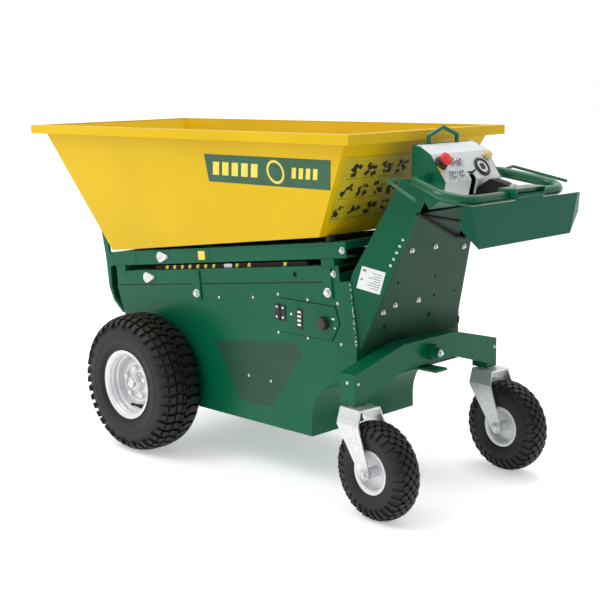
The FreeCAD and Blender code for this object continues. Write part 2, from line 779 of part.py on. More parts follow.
def tower_rear_plate():
    """The leaning rear plate, cut away at its top on the right, with accessory holes."""
    leaf = common(plate("xz", (-S.body_half, S.body_half), [
        (back_x(472, S.wall), 472), (back_x(472), 472), (back_x(888), 888),
        (back_x(888, S.wall), 888)]), footprint(S.wall * 1.17))
    notch = plate("yz", (500, 760), [(-140, 892), (74, 799), (150, 788), (260, 788), (260, 900), (-140, 900)])
    holes = [rod("x", place, 4.5, (500, 760)) for place in REAR_HOLES]
    return node("tower_rear_plate", cut(leaf, notch, body_block(), *holes))


def rating_plate():
    """The blank plate on the tower's left side."""
    leaf = group(box((-37, 37), (-1, 0), (-35, 35)))
    toe = math.degrees(math.atan(S.toe_slope.value))
    x = 569
    y = -(S.body_half.value - S.toe_slope.value * (x - S.weld_top_x.value))
    turn = Rotation(Vector(0, 0, 1), toe).multiply(Rotation(Vector(0, 1, 0), 15))
    return node("rating_plate", leaf, Placement(Vector(x, y, 690), turn))


def console_outline(inset):
    """The console seen from the side: upright front, sloping top, short folded back."""
    return [
        (S.console_front - 4 + inset, 996 + inset), (S.console_front + inset, S.console_top - inset),
        (S.console_front + 28, S.console_top - 5 - inset),
        (S.slope_top_x - inset * 0.5, S.slope_top_z - inset), (S.slope_low_x - inset, S.slope_low_z),
        (773 - inset, 938 + inset), (725, 906 + inset), (700, 940 + inset),
    ]


def console_block(inset):
    """The console as a solid, drawn in by an inset."""
    half = S.console_half - inset
    return plate("xz", (-half, half), console_outline(inset))


def console_housing():
    """The console's box: sides, front and base, open where its panel lies."""
    half = S.console_half - S.wall
    opening = plate("xz", (-half, half), [
        (671.8, 1080), (671.8, 1110), (850, 1110), (850, 942.8), (766, 942.8), (766, 950), (776, 988),
        (724, 1059), (688, 1080)])
    return node("console_housing", cut(console_block(0), console_block(S.wall), opening))


def console_panel():
    """The folded metal panel on the console, slotted for the speed lever, with the lever's pin."""
    half = S.console_half - S.wall
    outside = [(672, 1091.2), (S.console_front + 28, S.console_top - 5),
               (S.slope_top_x, S.slope_top_z), (S.slope_low_x, S.slope_low_z), (774.1, 943)]
    inside = [(771.1, 943.5), (S.slope_low_x - 3.5, S.slope_low_z - 0.6),
              (S.slope_top_x - 2, S.slope_top_z - 2.5), (S.console_front + 27.3, S.console_top - 8),
              (672, 1088.2)]
    leaf = plate("xz", (-half, half), outside + inside)
    slot = box((740, 800), (-11, 15), (930, 1011))
    centre = on_panel(*LEVER_PLACE, -2).Base
    pin = rod("y", (centre.x, centre.z), 2, (-12, 16))
    return node("console_panel", fuse(cut(leaf, slot), pin))


SLOPE_RUN = (S.slope_low_x - S.slope_top_x).value
SLOPE_DROP = (S.slope_top_z - S.slope_low_z).value
PANEL_NORMAL = Vector(SLOPE_DROP, 0, SLOPE_RUN).normalize()
PANEL_TURN = Rotation(Vector(0, 1, 0), math.degrees(math.atan2(SLOPE_DROP, SLOPE_RUN)))
LEVER_PLACE = (772, 2)


def on_panel(x, y, lift=0.0):
    """A place on the sloping panel at a station, raised along its normal."""
    z = S.slope_top_z.value - (x - S.slope_top_x.value) * SLOPE_DROP / SLOPE_RUN
    return Placement(Vector(x, y, z) + PANEL_NORMAL * lift, PANEL_TURN)


def dial(radius, height, edge=1.0):
    """A round piece with a bevelled edge, standing on its own base plane."""
    foot = rod("z", (0, 0), radius, (0, height - edge))
    head = doc.addObject("Part::Cone", "Bevel")
    bind(head, "Radius1", radius)
    bind(head, "Radius2", radius - edge)
    bind(head, "Height", edge)
    bind(head, "Placement.Base.z", height - edge)
    return fuse(foot, head)


STOP_PLACE = (748, -112)
BUTTON_PLACES = ((745, -61.5), (747, -31.5), (771, -84), (770, -46))


def console_controls():
    """The emergency stop, the push buttons, the gauge, the lamp and the toggle."""
    stem = size(7)
    collar = fuse(rod("z", (0, 0), 21, (0, 8)), rod("z", (0, 0), 12, (8, 16)))
    collar = cut(collar, rod("z", (0, 0), stem + S.running, (-1, 17)))
    node("estop_collar", collar, on_panel(*STOP_PLACE))
    head = dial(20, 14, 4)
    head.Placement = Placement(Vector(0, 0, 20.5), Rotation())
    node("estop_button", fuse(head, rod("z", (0, 0), stem, (5.5, 22))), on_panel(*STOP_PLACE))
    bezels = []
    for x, y in BUTTON_PLACES:
        ring = cut(rod("z", (0, 0), 13, (0, 6)), rod("z", (0, 0), 9.3, (-1, 7)))
        ring.Placement = on_panel(x, y)
        bezels.append(ring)
    node("button_bezels", group(*bezels))
    for number, (x, y) in enumerate(BUTTON_PLACES, start=1):
        node(f"push_button_{number}", dial(9, 7.5, 0.8), on_panel(x, y, 3.5))
    node("charge_gauge", dial(31, 7, 2), on_panel(762, 68))
    node("indicator_lamp", dial(15, 22, 5), on_panel(742, 113))
    lever = fuse(ball((0, 0, 0), 5.5), rod("z", (0, 0), 3, (4, 22)))
    lever = cut(lever, rod("y", (0, 0), 2 + S.running, (-8, 8)))
    node("speed_lever", lever, on_panel(*LEVER_PLACE, -2))


def lifting_loop():
    """The bent bar loop on top of the console, for a hoist hook."""
    x = S.console_front + 6
    foot = S.console_top - 6
    points = [(x, -66, foot), (x, -68, foot + 28), (x, 0, foot + 52), (x, 68, foot + 28), (x, 66, foot)]
    bars = [bar(start, end, 6.5) for start, end in zip(points, points[1:])]
    knees = [ball(point, 6.5) for point in points[1:-1]]
    return node("lifting_loop", cut(fuse(*bars, *knees), console_block(0)))


HANDLE = Placement(Vector(S.handle_x.value, 0, S.handle_z.value),
                   Rotation(Vector(0, 1, 0), S.handle_tilt.value))


def rounded_path(sketch, corners, bends):
    """An open path of straight runs joined by tangent arcs."""
    points = [Vector(size(x).value, size(y).value, 0) for x, y in corners]
    starts = [points[0]]
    for before, corner, after, bend in zip(points, points[1:], points[2:], bends):
        into = (corner - before).normalize()
        out = (after - corner).normalize()
        turn = into.getAngle(out)
        setback = size(bend).value * math.tan(turn / 2)
        entry = corner - into * setback
        leave = corner + out * setback
        middle_way = (out - into).normalize()
        centre = corner + middle_way * (size(bend).value / math.cos(turn / 2))
        middle = centre - middle_way * size(bend).value
        sketch.addGeometry(Part.LineSegment(starts[-1], entry), False)
        sketch.addGeometry(Part.Arc(entry, middle, leave), False)
        starts.append(leave)
    sketch.addGeometry(Part.LineSegment(starts[-1], points[-1]), False)


def handlebar():
    """The bent handlebar tube, and the slotted strip welded beside its right grip."""
    body = doc.addObject("PartDesign::Body", "Tube")
    path = new_sketch(body, "xy", 0)
    start = S.console_half
    rounded_path(path, [
        (0, -start), (0, -S.handle_near_half), (S.handle_reach, -S.handle_far_half),
        (S.handle_reach, S.handle_far_half), (0, S.handle_near_half), (0, start)],
        [S.elbow_bend, S.handle_bend, S.handle_bend, S.elbow_bend])
    profile = new_sketch(body, "xz", -start)
    draw_circle(profile, 0, 0, S.handle_tube)
    doc.recompute()
    pipe = body.newObject("PartDesign::AdditivePipe", "Pipe")
    pipe.Profile = profile
    pipe.Spine = path
    body.Tip = pipe
    return node("handlebar", fuse(body, *hand_guards(), grip_strip()), HANDLE)


def hand_guards():
    """A thin bent rod outside each grip, welded to the tube's elbow."""
    rods = []
    for side in (-1, 1):
        points = [(-2, side * 212, 0), (-14, side * 306, 6), (146, side * 370, -4)]
        rods += [bar(points[0], points[1], S.guard_rod), bar(points[1], points[2], S.guard_rod),
                 ball(points[1], S.guard_rod), ball(points[2], S.guard_rod)]
    return rods


def grip_strip():
    """The slotted strip along the outside of the right grip."""
    strip = box((0, 138), (0, 22), (-2, 2))
    slots = [box((10 + 12.5 * step, 16 + 12.5 * step), (6, 17), (-3, 3)) for step in range(10)]
    run = Vector(S.handle_reach.value, S.handle_far_half.value - S.handle_near_half.value, 0)
    slotted = group(cut(strip, *slots))
    slotted.Placement = Placement(Vector(34, 233.5, 6), Rotation(Vector(1, 0, 0), run))
    return slotted


def stop_bracket():
    """The saddle on the handlebar's cross tube, with the stop plate's hinge pin between two ears."""
    tilt = math.radians(S.handle_tilt.value)
    x = S.handle_x + S.handle_reach * math.cos(tilt)
    z = S.handle_z - S.handle_reach * math.sin(tilt)
    axis_x = S.plate_x + S.plate_sheet / 2
    axis_z = S.plate_pivot_z
    saddle = cut(box((x - 24, x + 22), (-58, 88), (z - 6, z + 24)),
                 box((x - 20, x + 18), (-60, 90), (z - 20, z + 12)),
                 rod("y", (x, z), S.handle_tube, (-60, 90)))
    ears = [box((x + 20, axis_x + 4), span, (axis_z - 5, z + 24)) for span in ((-58, -54), (84, 88))]
    shelf = box((x + 20, axis_x + 4), (-58, 88), (z + 21, z + 24))
    pin = rod("y", (axis_x, axis_z), S.hinge_pin, (-58, 88))
    return node("stop_bracket", fuse(saddle, *ears, shelf, pin))


def console_brace():
    """The dark brace that rises from the console's lower edge and runs out to the bracket."""
    brace = plate("xz", (22, 62), [
        (774.43, 944.5), (778.28, 962), (826, 990), (866, 981), (914, 966), (914, 948), (850, 953),
        (800, 935), (777, 937)])
    return node("console_brace", brace)


def stop_plate():
    """The plate across the rear that stops the machine when it is pressed, on its hinge sleeve."""
    x = S.plate_x
    axis_x = x + S.plate_sheet / 2
    leaf = plate("yz", (x, x + S.plate_sheet), [
        (-S.plate_low_half, S.plate_low), (S.plate_low_half, S.plate_low),
        (S.plate_top_half, S.plate_top), (-S.plate_top_half, S.plate_top)])
    lean = S.plate_top_half.value - S.plate_low_half.value
    rise = S.plate_top.value - S.plate_low.value
    ends = []
    for side in (-1, 1):
        corners = [(-2, 0), (66, 60), (62, 118), (lean - 2, rise)]
        wing = plate("yz", (0, S.plate_sheet), [(side * y, z) for y, z in corners][::side])
        fold = Rotation(Vector(0, side * lean, rise), side * S.plate_bend.value)
        wing.Placement = Placement(Vector(x.value, side * S.plate_low_half.value, S.plate_low.value), fold)
        ends.append(wing)
    web = box((x, x + S.plate_sheet), (-50, 80), (S.plate_top - 1, S.plate_pivot_z - 5))
    sleeve = rod("y", (axis_x, S.plate_pivot_z), 7, (-53, 83))
    bore = rod("y", (axis_x, S.plate_pivot_z), S.hinge_pin + S.running, (-54, 84))
    return node("stop_plate", cut(fuse(leaf, *ends, web, sleeve), bore))


# ---------------------------------------------------------------- rear axle beam and castors

def axle_beam():
    """The cranked box beam with a post at each end and a bored boss in its middle."""
    def mirror(points):
        return [(-y, z) for y, z in reversed(points)]
    right = [
        (S.beam_kink, S.beam_low), (S.post_in, S.beam_low - 52), (S.post_in, S.post_low),
        (S.beam_end, S.post_low), (S.beam_end, S.beam_end_top), (S.beam_kink, S.beam_top)]
    beam = plate("yz", (S.beam_front, S.beam_back), right + mirror(right))
    boss = rod("x", (0, S.rock_z), S.boss_radius, (S.beam_back, S.beam_back + 26))
    bore = rod("x", (0, S.rock_z), S.rock_pin + S.running, (S.beam_front - 1, S.beam_back + 27))
    kings = [rod("z", (S.castor_x, side * S.castor_half), S.king_pin + S.running,
                 (S.post_low - 1, S.king_top + 1)) for side in (-1, 1)]
    return node("axle_beam", cut(fuse(beam, boss), bore, *kings))


def pivot_bracket():
    """The lengthwise pin the beam rocks on, its end washer and bolt, and the tow plate below."""
    pin = rod("x", (0, S.rock_z), S.rock_pin, (S.back_x, S.beam_back + 40))
    washer = rod("x", (0, S.rock_z), 18, (S.beam_back + 28, S.beam_back + 34))
    shoulder = rod("x", (0, S.rock_z), 30, (S.back_x, S.beam_front - 2))
    return node("pivot_pin", fuse(pin, washer, shoulder))


def tow_plate():
    """The flat tongue under the beam, bored for a tow pin."""
    tongue = box((S.back_x, 668), (-28, 28), (384, 392))
    bore = rod("z", (648, 0), 8, (380, 396))
    return node("tow_plate", cut(tongue, bore))


def castor_place(side):
    """A castor's own frame: its origin on the ground under the swivel pin, turned as it stands."""
    return Placement(Vector(S.castor_x.value, side * S.castor_half.value, 0),
                     Rotation(Vector(0, 0, 1), S.castor_angle.value))


def fork_leg(face):
    """One pressed leg: close in under the crown, then splayed out past the tyre."""
    seen_from_side = plate("xz", spread(S.fork_neck, S.fork_gap + S.fork_sheet, face), [
        (-20, S.fork_top), (-20, 279), (82, 138, 21), (117, 156), (72, 288), (66, S.fork_top)])
    section = [
        (S.fork_neck, S.fork_top + 1), (S.fork_gap, S.fork_splay), (S.fork_gap, 110),
        (S.fork_gap + S.fork_sheet, 110), (S.fork_gap + S.fork_sheet, S.fork_splay),
        (S.fork_neck + S.fork_sheet, S.fork_top + 1)]
    seen_from_behind = plate("yz", (-25, 130), [(face * y, z) for y, z in section])
    return common(seen_from_side, seen_from_behind)


def castor_fork(side):
    """The pressed fork, its swivel head and the wheel's axle."""
    legs = [fork_leg(face) for face in (-1, 1)]
    shoulder = S.fork_neck + S.fork_sheet
    crown = box((-20, 66), (-shoulder, shoulder), (S.fork_top - 6, S.fork_top))
    head = rod("z", (0, 0), 21, (S.fork_top - 1, S.post_low - S.slack))
    king = rod("z", (0, 0), S.king_pin, (S.fork_top - 1, S.king_top))
    reach = S.fork_gap + S.fork_sheet
    axle = rod("y", (S.castor_trail, S.castor_radius), S.axle_radius, (-reach - 9, reach + 9))
    pieces = (*legs, crown, head, king, axle)
    return node(f"castor_fork_{SIDE_NAMES[side]}", fuse(*pieces), castor_place(side))


def castor_wheel_place(side):
    """The castor wheel's centre, in the castor's own frame."""
    local = Placement(Vector(S.castor_trail.value, 0, S.castor_radius.value), Rotation())
    return castor_place(side).multiply(local)


def castor_rim(side):
    """The small pressed rim with its hub tube."""
    rim = S.castor_rim
    hub = S.axle_radius + S.running
    profile = [
        (hub, -44), (16, -44), (16, -8), (rim - 16, -8), (rim - 13, -30), (rim - 8, -33), (rim, -34),
        (rim, -31), (rim - 7, -28), (rim - 10, -20), (rim - 10, 20), (rim - 7, 28), (rim, 31),
        (rim, 34), (rim - 8, 33), (rim - 13, 30), (rim - 16, 8), (16, 8), (16, 44), (hub, 44)]
    return node(f"castor_rim_{SIDE_NAMES[side]}", turned(profile), castor_wheel_place(side))


def tyre_profile(inner, outer, half, bead_half, thick):
    """A hollow tyre's section: beads, bulging side walls and a crowned tread, open at the rim."""
    belly = inner + (outer - inner) * 0.52
    shoulder = outer - (outer - inner) * 0.14
    outside = [
        (inner, bead_half), (inner + 8, bead_half + 2), (belly, half), (shoulder, half * 0.93),
        (outer - 2, half * 0.72), (outer, half * 0.3)]
    cavity = [
        (outer - thick * 1.3, half * 0.5), (shoulder - thick, half * 0.93 - thick),
        (belly, half - thick), (inner + 8, bead_half - thick), (inner, bead_half - thick)]
    half_section = [(radius, size(place)) for radius, place in outside]
    mirrored = [(radius, -size(place)) for radius, place in reversed(outside)]
    hollow = [(radius, -size(place)) for radius, place in reversed(cavity)]
    return half_section + mirrored + hollow + cavity


def castor_tyre(side):
    """The castor's pneumatic tyre."""
    section = tyre_profile(S.castor_rim - 7, S.castor_radius, S.castor_wide / 2, size(28), 8)
    return node(f"castor_tyre_{SIDE_NAMES[side]}", turned(section), castor_wheel_place(side))


# ---------------------------------------------------------------- driven wheels

def drive_place(side):
    """A driven wheel's centre, with its outer face away from the machine."""
    turn = Rotation(Vector(0, 0, 1), 0 if side > 0 else 180)
    return Placement(Vector(S.drive_x.value, side * S.drive_half.value, S.drive_radius.value), turn)


def wheel_nuts():
    """Five wheel nuts round the hub, bearing on the disc."""
    nuts = []
    for index in range(5):
        angle = math.radians(72 * index + 18)
        nuts.append(rod("y", (52 * math.cos(angle), 52 * math.sin(angle)), 9, (17, 36)))
    return nuts


def drive_rim(side):
    """The deep-dished rim: barrel, bead flanges, disc and hub, with its wheel nuts."""
    rim = S.drive_rim
    hub = S.spindle + S.running
    profile = [
        (hub, -8), (38, -8), (38, 16), (70, 18), (rim - 26, 8), (rim - 22, -20), (rim - 18, -66),
        (rim - 12, -70), (rim, -74), (rim, -70), (rim - 9, -66), (rim - 14, -60), (rim - 14, 60),
        (rim - 9, 66), (rim, 70), (rim, 74), (rim - 12, 70), (rim - 18, 64), (rim - 22, 26),
        (rim - 26, 15), (70, 24), (34, 22), (34, 30), (hub, 30)]
    return node(f"drive_rim_{SIDE_NAMES[side]}", fuse(turned(profile), *wheel_nuts()), drive_place(side))


def drive_tyre(side):
    """The wide pneumatic drive tyre."""
    section = tyre_profile(S.drive_rim - 9, S.drive_radius, S.drive_wide / 2, size(66), 13)
    return node(f"drive_tyre_{SIDE_NAMES[side]}", turned(section), drive_place(side))


# ---------------------------------------------------------------- fasteners

SCREW_PLACES = (
    (-86, 566), (83, 586), (201, 610), (333, 607), (462, 611), (200, 485), (333, 484), (476, 484),
    (53, 318), (160, 316))
BOLT_DROP = -58


def panel_screws():
    """The small screws along both side panels."""
    heads = []
    for x, z in SCREW_PLACES:
        for side in (-1, 1):
            heads.append(rod("y", (x, z), 5, spread(S.body_half, S.body_half + 3, side)))
    return node("panel_screws", group(*heads))


REAR_BOLTS = ((-124, 777), (-12, 777), (137, 761), (-131, 604), (-19, 604), (-180, 588))


def lug_bolts():
    """The large bolts through the lower rails' lugs."""
    heads = []
    for x in TAB_PLACES:
        for side in (-1, 1):
            face = S.body_half + 5
            washer = rod("y", (lift_u(x), BOLT_DROP), 15, spread(face, face + 3, side))
            hexagon = rod("y", (lift_u(x), BOLT_DROP), 11, spread(face + 3, face + 11, side))
            heads.append(fuse(washer, hexagon))
    set_of_four = group(*heads)
    set_of_four.Placement = LIFT
    return set_of_four


def frame_bolts():
    """The plated bolts of the lugs and of the tower's rear plate."""
    lean = math.degrees(math.atan(S.tower_lean.value))
    heads = []
    for y, z in REAR_BOLTS:
        head = dial(8, 6, 1.5)
        head.Placement = Placement(Vector(back_x(z).value, y, z), Rotation(Vector(0, 1, 0), 90 + lean))
        heads.append(head)
    return node("frame_bolts", group(lug_bolts(), *heads))


def build():
    """Every sub-part, from the body outwards."""
    body_wrap()
    both_sides(side_panel)
    vent_screens()
    service_door()
    door_hinge()
    door_hinge_leaf()
    charge_indicator()
    door_knob()
    internal_units()
    both_sides(gear_motor)
    lower_rail_frame()
    rails = upper_rail_frame()
    pivot_pins()
    scissor_outer_arms()
    scissor_inner_arms()
    tub_shell()
    tub_rim()
    tip_brackets(rails)
    tub_rests()
    tower_sides()
    tower_rear_plate()
    rating_plate()
    console_housing()
    console_panel()
    console_controls()
    lifting_loop()
    handlebar()
    stop_bracket()
    console_brace()
    stop_plate()
    axle_beam()
    pivot_bracket()
    tow_plate()
    for side in (-1, 1):
        castor_fork(side)
        castor_rim(side)
        castor_tyre(side)
        drive_rim(side)
        drive_tyre(side)
    panel_screws()
    frame_bolts()


def check_and_write():
    """Stop on any failed object, then write one file for each sub-part."""
    doc.recompute()
    failed = [item.Label for item in doc.Objects if "Invalid" in item.State or "Error" in item.State]
    for item in NODES:
        if item.Shape.isNull() or not item.Shape.isValid() or not item.Shape.Solids:
            failed.append(item.Label)
    if failed:
        raise RuntimeError(f"failed objects: {failed}")
    os.makedirs("parts", exist_ok=True)
    for item in NODES:
        item.Shape.exportStep(f"parts/{item.Label}.step")
        bounds = item.Shape.BoundBox
        print(f"{item.Label:24s} solids {len(item.Shape.Solids):2d} volume {item.Shape.Volume / 1e3:9.1f} cm3"
              f"  x {bounds.XMin:7.1f} {bounds.XMax:7.1f}  y {bounds.YMin:7.1f} {bounds.YMax:7.1f}"
              f"  z {bounds.ZMin:7.1f} {bounds.ZMax:7.1f}")
    print(len(NODES), "sub-parts")


build()
check_and_write()
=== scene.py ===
import math
import random

import bmesh
import bpy
from mathutils import Matrix, Vector


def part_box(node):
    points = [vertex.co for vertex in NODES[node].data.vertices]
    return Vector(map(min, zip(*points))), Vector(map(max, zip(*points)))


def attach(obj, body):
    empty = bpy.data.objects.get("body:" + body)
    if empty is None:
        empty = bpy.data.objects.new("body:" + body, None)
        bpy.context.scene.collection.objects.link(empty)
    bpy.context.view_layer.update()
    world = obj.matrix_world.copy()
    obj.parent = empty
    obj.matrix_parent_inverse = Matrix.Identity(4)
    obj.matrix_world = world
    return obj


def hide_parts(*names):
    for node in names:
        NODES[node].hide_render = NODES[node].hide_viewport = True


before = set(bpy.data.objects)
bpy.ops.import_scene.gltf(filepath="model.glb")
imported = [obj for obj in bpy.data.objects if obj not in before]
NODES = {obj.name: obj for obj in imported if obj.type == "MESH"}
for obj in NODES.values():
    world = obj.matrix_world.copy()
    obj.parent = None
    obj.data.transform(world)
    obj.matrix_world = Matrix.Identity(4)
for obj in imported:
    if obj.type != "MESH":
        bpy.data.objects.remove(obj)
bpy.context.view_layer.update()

# Metres throughout, in the CAD frame: +X towards the operator's end, +Y to the operator's right.


# ---------------------------------------------------------------- materials

def linear(red, green, blue):
    """An sRGB colour in 0 to 255 as the linear colour that shaders use."""
    def one(value):
        value /= 255
        return value / 12.92 if value <= 0.04045 else ((value + 0.055) / 1.055) ** 2.4
    return (one(red), one(green), one(blue), 1)


class Surface:
    """A material with a Principled shader and helpers that add procedural nodes to it."""

    def __init__(self, name):
        self.material = bpy.data.materials.new(name)
        self.material.use_nodes = True
        self.tree = self.material.node_tree
        self.shader = self.tree.nodes["Principled BSDF"]
        self.coords = self.tree.nodes.new("ShaderNodeTexCoord").outputs["Object"]

    def add(self, kind, **settings):
        node = self.tree.nodes.new(kind)
        for key, value in settings.items():
            setattr(node, key, value)
        return node

    def link(self, output, target):
        self.tree.links.new(output, target)

    def set(self, **values):
        """Constant shader inputs, by name with underscores for spaces."""
        for key, value in values.items():
            self.shader.inputs[key.replace("_", " ")].default_value = value

    def noise(self, scale, detail=3.0, roughness=0.55, stretch=None):
        source = self.coords
        if stretch:
            mapping = self.add("ShaderNodeMapping")
            mapping.inputs["Scale"].default_value = stretch
            self.link(source, mapping.inputs["Vector"])
            source = mapping.outputs["Vector"]
        node = self.add("ShaderNodeTexNoise")
        node.inputs["Scale"].default_value = scale
        node.inputs["Detail"].default_value = detail
        node.inputs["Roughness"].default_value = roughness
        self.link(source, node.inputs["Vector"])
        return node.outputs["Fac"]

    def ramp(self, factor, stops):
        node = self.add("ShaderNodeValToRGB")
        while len(node.color_ramp.elements) < len(stops):
            node.color_ramp.elements.new(0.5)
        for element, (place, colour) in zip(node.color_ramp.elements, stops):
            element.position = place
            element.color = colour
        self.link(factor, node.inputs["Fac"])
        return node.outputs["Color"]

    def mix(self, factor, first, second):
        node = self.add("ShaderNodeMix", data_type="RGBA")
        for socket, value in ((node.inputs["Factor"], factor), (node.inputs["A"], first),
                              (node.inputs["B"], second)):
            if isinstance(value, bpy.types.NodeSocket):
                self.link(value, socket)
            else:
                socket.default_value = value
        return node.outputs["Result"]

    def span(self, value, low, high):
        """A value from 0 to 1 spread over low to high."""
        node = self.add("ShaderNodeMapRange")
        node.inputs["To Min"].default_value = low
        node.inputs["To Max"].default_value = high
        self.link(value, node.inputs["Value"])
        return node.outputs["Result"]

    def maths(self, operation, first, second=0.0):
        node = self.add("ShaderNodeMath", operation=operation)
        for socket, value in zip(node.inputs, (first, second)):
            if isinstance(value, bpy.types.NodeSocket):
                self.link(value, socket)
            else:
                socket.default_value = value
        return node.outputs["Value"]

    def bump(self, height, strength, distance, edge=None):
        """Surface bump, over edges rounded by the radius edge."""
        node = self.add("ShaderNodeBump")
        node.inputs["Strength"].default_value = strength
        node.inputs["Distance"].default_value = distance
        self.link(height, node.inputs["Height"])
        if edge:
            bevel = self.add("ShaderNodeBevel", samples=4)
            bevel.inputs["Radius"].default_value = edge
            self.link(bevel.outputs["Normal"], node.inputs["Normal"])
        self.link(node.outputs["Normal"], self.shader.inputs["Normal"])


def paint(name, dark, light, rough=0.26, edge=0.0014, coat=0.05, gloss=0.16):
    """Powder coat: a faint drift of colour, orange-peel bump, and smudged gloss."""
    s = Surface(name)
    drift = s.noise(2.3, 2.0)
    fine = s.noise(38, 4.0)
    colour = s.ramp(drift, [(0.3, dark), (0.7, light)])
    s.link(s.mix(s.span(fine, 0.0, 0.16), colour, light), s.shader.inputs["Base Color"])
    s.link(s.span(s.noise(7, 4.0), rough - 0.06, rough + 0.12), s.shader.inputs["Roughness"])
    s.bump(s.noise(420, 2.0), 0.09, 0.0006, edge)
    s.set(Coat_Weight=coat, Coat_Roughness=0.2, Specular_IOR_Level=gloss)
    return s.material


def bare_metal(name, dark, light, rough=0.34, metallic=0.85, cell=90, edge=0.001):
    """Galvanised or plated steel: spangled cells, streaks and uneven polish."""
    s = Surface(name)
    cells = s.add("ShaderNodeTexVoronoi")
    cells.inputs["Scale"].default_value = cell
    s.link(s.coords, cells.inputs["Vector"])
    tone = s.mix(0.45, s.noise(9, 4.0), cells.outputs["Color"])
    shade = s.add("ShaderNodeRGBToBW")
    s.link(tone, shade.inputs["Color"])
    s.link(s.ramp(shade.outputs["Val"], [(0.25, dark), (0.75, light)]), s.shader.inputs["Base Color"])
    s.link(s.span(shade.outputs["Val"], rough - 0.08, rough + 0.14), s.shader.inputs["Roughness"])
    s.bump(s.noise(160, 3.0), 0.12, 0.0006, edge)
    s.set(Metallic=metallic)
    return s.material


def moulded(name, dark, light, rough=0.5, grain=900, strength=0.25):
    """Moulded plastic: fine grain in the surface and a slight drift of tone."""
    s = Surface(name)
    s.link(s.ramp(s.noise(14, 3.0), [(0.3, dark), (0.7, light)]), s.shader.inputs["Base Color"])
    s.link(s.span(s.noise(26, 3.0), rough - 0.06, rough + 0.1), s.shader.inputs["Roughness"])
    s.bump(s.noise(grain, 2.0), strength, 0.0004, 0.0008)
    return s.material


def tyre_rubber():
    """Black rubber with a bloom of dust and a fine mould texture."""
    s = Surface("tyre_rubber")
    dust = s.noise(11, 5.0, 0.65)
    colour = s.ramp(dust, [(0.35, linear(13, 13, 14)), (0.75, linear(29, 29, 30))])
    s.link(colour, s.shader.inputs["Base Color"])
    s.link(s.span(dust, 0.42, 0.68), s.shader.inputs["Roughness"])
    s.bump(s.noise(300, 3.0), 0.3, 0.0008, 0.0016)
    s.set(Specular_IOR_Level=0.4)
    return s.material


def perforated(dark, light):
    """The vent's screen: staggered rows of small punched holes in green sheet, the holes painted a
    near-black green as painted shade of the inside seen through them.
    """
    s = Surface("perforated_screen")
    split = s.add("ShaderNodeSeparateXYZ")
    s.link(s.coords, split.inputs["Vector"])
    pitch = 0.0085
    along = s.maths("DIVIDE", split.outputs["X"], pitch)
    up = s.maths("DIVIDE", split.outputs["Z"], pitch * 0.866)
    row = s.maths("FLOOR", up)
    shifted = s.maths("ADD", along, s.maths("MULTIPLY", row, 0.5))
    across = s.maths("SUBTRACT", s.maths("FRACT", shifted), 0.5)
    rise = s.maths("SUBTRACT", s.maths("FRACT", up), 0.5)
    square = s.maths("ADD", s.maths("MULTIPLY", across, across), s.maths("MULTIPLY", rise, rise))
    hole = s.maths("LESS_THAN", square, 0.085)
    sheet = s.ramp(s.noise(3, 2.0), [(0.3, dark), (0.7, light)])
    # The holes take a near-black green: painted shade of the body's inside seen through them.
    s.link(s.mix(hole, sheet, linear(2, 26, 18)), s.shader.inputs["Base Color"])
    s.link(s.span(hole, 0.4, 0.9), s.shader.inputs["Roughness"])
    s.bump(s.maths("SUBTRACT", 1.0, hole), 0.8, 0.001)
    return s.material


def brushed_panel():
    """The console's pale satin panel with a faint brushed grain."""
    s = Surface("console_panel_satin")
    grain = s.noise(60, 4.0, 0.6, stretch=(1.0, 40.0, 1.0))
    s.link(s.ramp(grain, [(0.3, linear(206, 210, 212)), (0.7, linear(222, 226, 228))]),
           s.shader.inputs["Base Color"])
    s.link(s.span(grain, 0.32, 0.48), s.shader.inputs["Roughness"])
    s.bump(grain, 0.06, 0.0004, 0.001)
    s.set(Metallic=0.1)
    return s.material


def translucent(name, colour, light):
    """A pale cast knob that lets some light through."""
    s = Surface(name)
    s.link(s.ramp(s.noise(40, 3.0), [(0.3, colour), (0.7, light)]), s.shader.inputs["Base Color"])
    s.link(s.span(s.noise(60, 2.0), 0.12, 0.3), s.shader.inputs["Roughness"])
    s.set(Transmission_Weight=0.25, IOR=1.49, Subsurface_Weight=0.3, Subsurface_Scale=0.01)
    return s.material


GREEN = paint("green_powder_coat", linear(0, 84, 56), linear(6, 96, 66))
GREEN_GLOSS = paint("green_gloss_paint", linear(0, 84, 56), linear(4, 94, 64), rough=0.18, gloss=0.4)
# A slightly darker, duller copy of the green paint for the stop plate: painted shade, as its face gets less
# light than the rest.
GREEN_PLATE_SHADE = paint("green_powder_coat_plate_shade", linear(0, 78, 56), linear(2, 86, 63), rough=0.2, gloss=0.1)
# A darker, greyer copy of the green paint: painted shade for the down-facing tower rear plate, also used for
# the scissor arms and the plate behind the tower's cut corner.
GREEN_SHADE = paint("green_powder_coat_painted_shade", linear(24, 62, 44), linear(32, 70, 52), rough=0.4, coat=0.0)
YELLOW = paint("yellow_powder_coat", linear(208, 171, 2), linear(218, 181, 8), rough=0.36, coat=0.0)
BLACK_PAINT = paint("black_satin_paint", linear(22, 20, 19), linear(38, 33, 30), rough=0.5, coat=0.0)
ZINC = bare_metal("galvanised_steel", linear(200, 202, 204), linear(224, 225, 227), 0.28, 0.7, 120)
PLATED = bare_metal("plated_fastener", linear(178, 180, 182), linear(228, 229, 230), 0.28, 0.75, 160)
RIM_SILVER = bare_metal("silver_rim_paint", linear(206, 208, 211), linear(228, 229, 231), 0.3, 0.3, 700)
CHROME = bare_metal("polished_button_metal", linear(150, 155, 163), linear(206, 210, 215), 0.16, 0.95, 300)
IRON = bare_metal("motor_casting", linear(38, 39, 41), linear(66, 68, 70), 0.55, 0.5, 60)
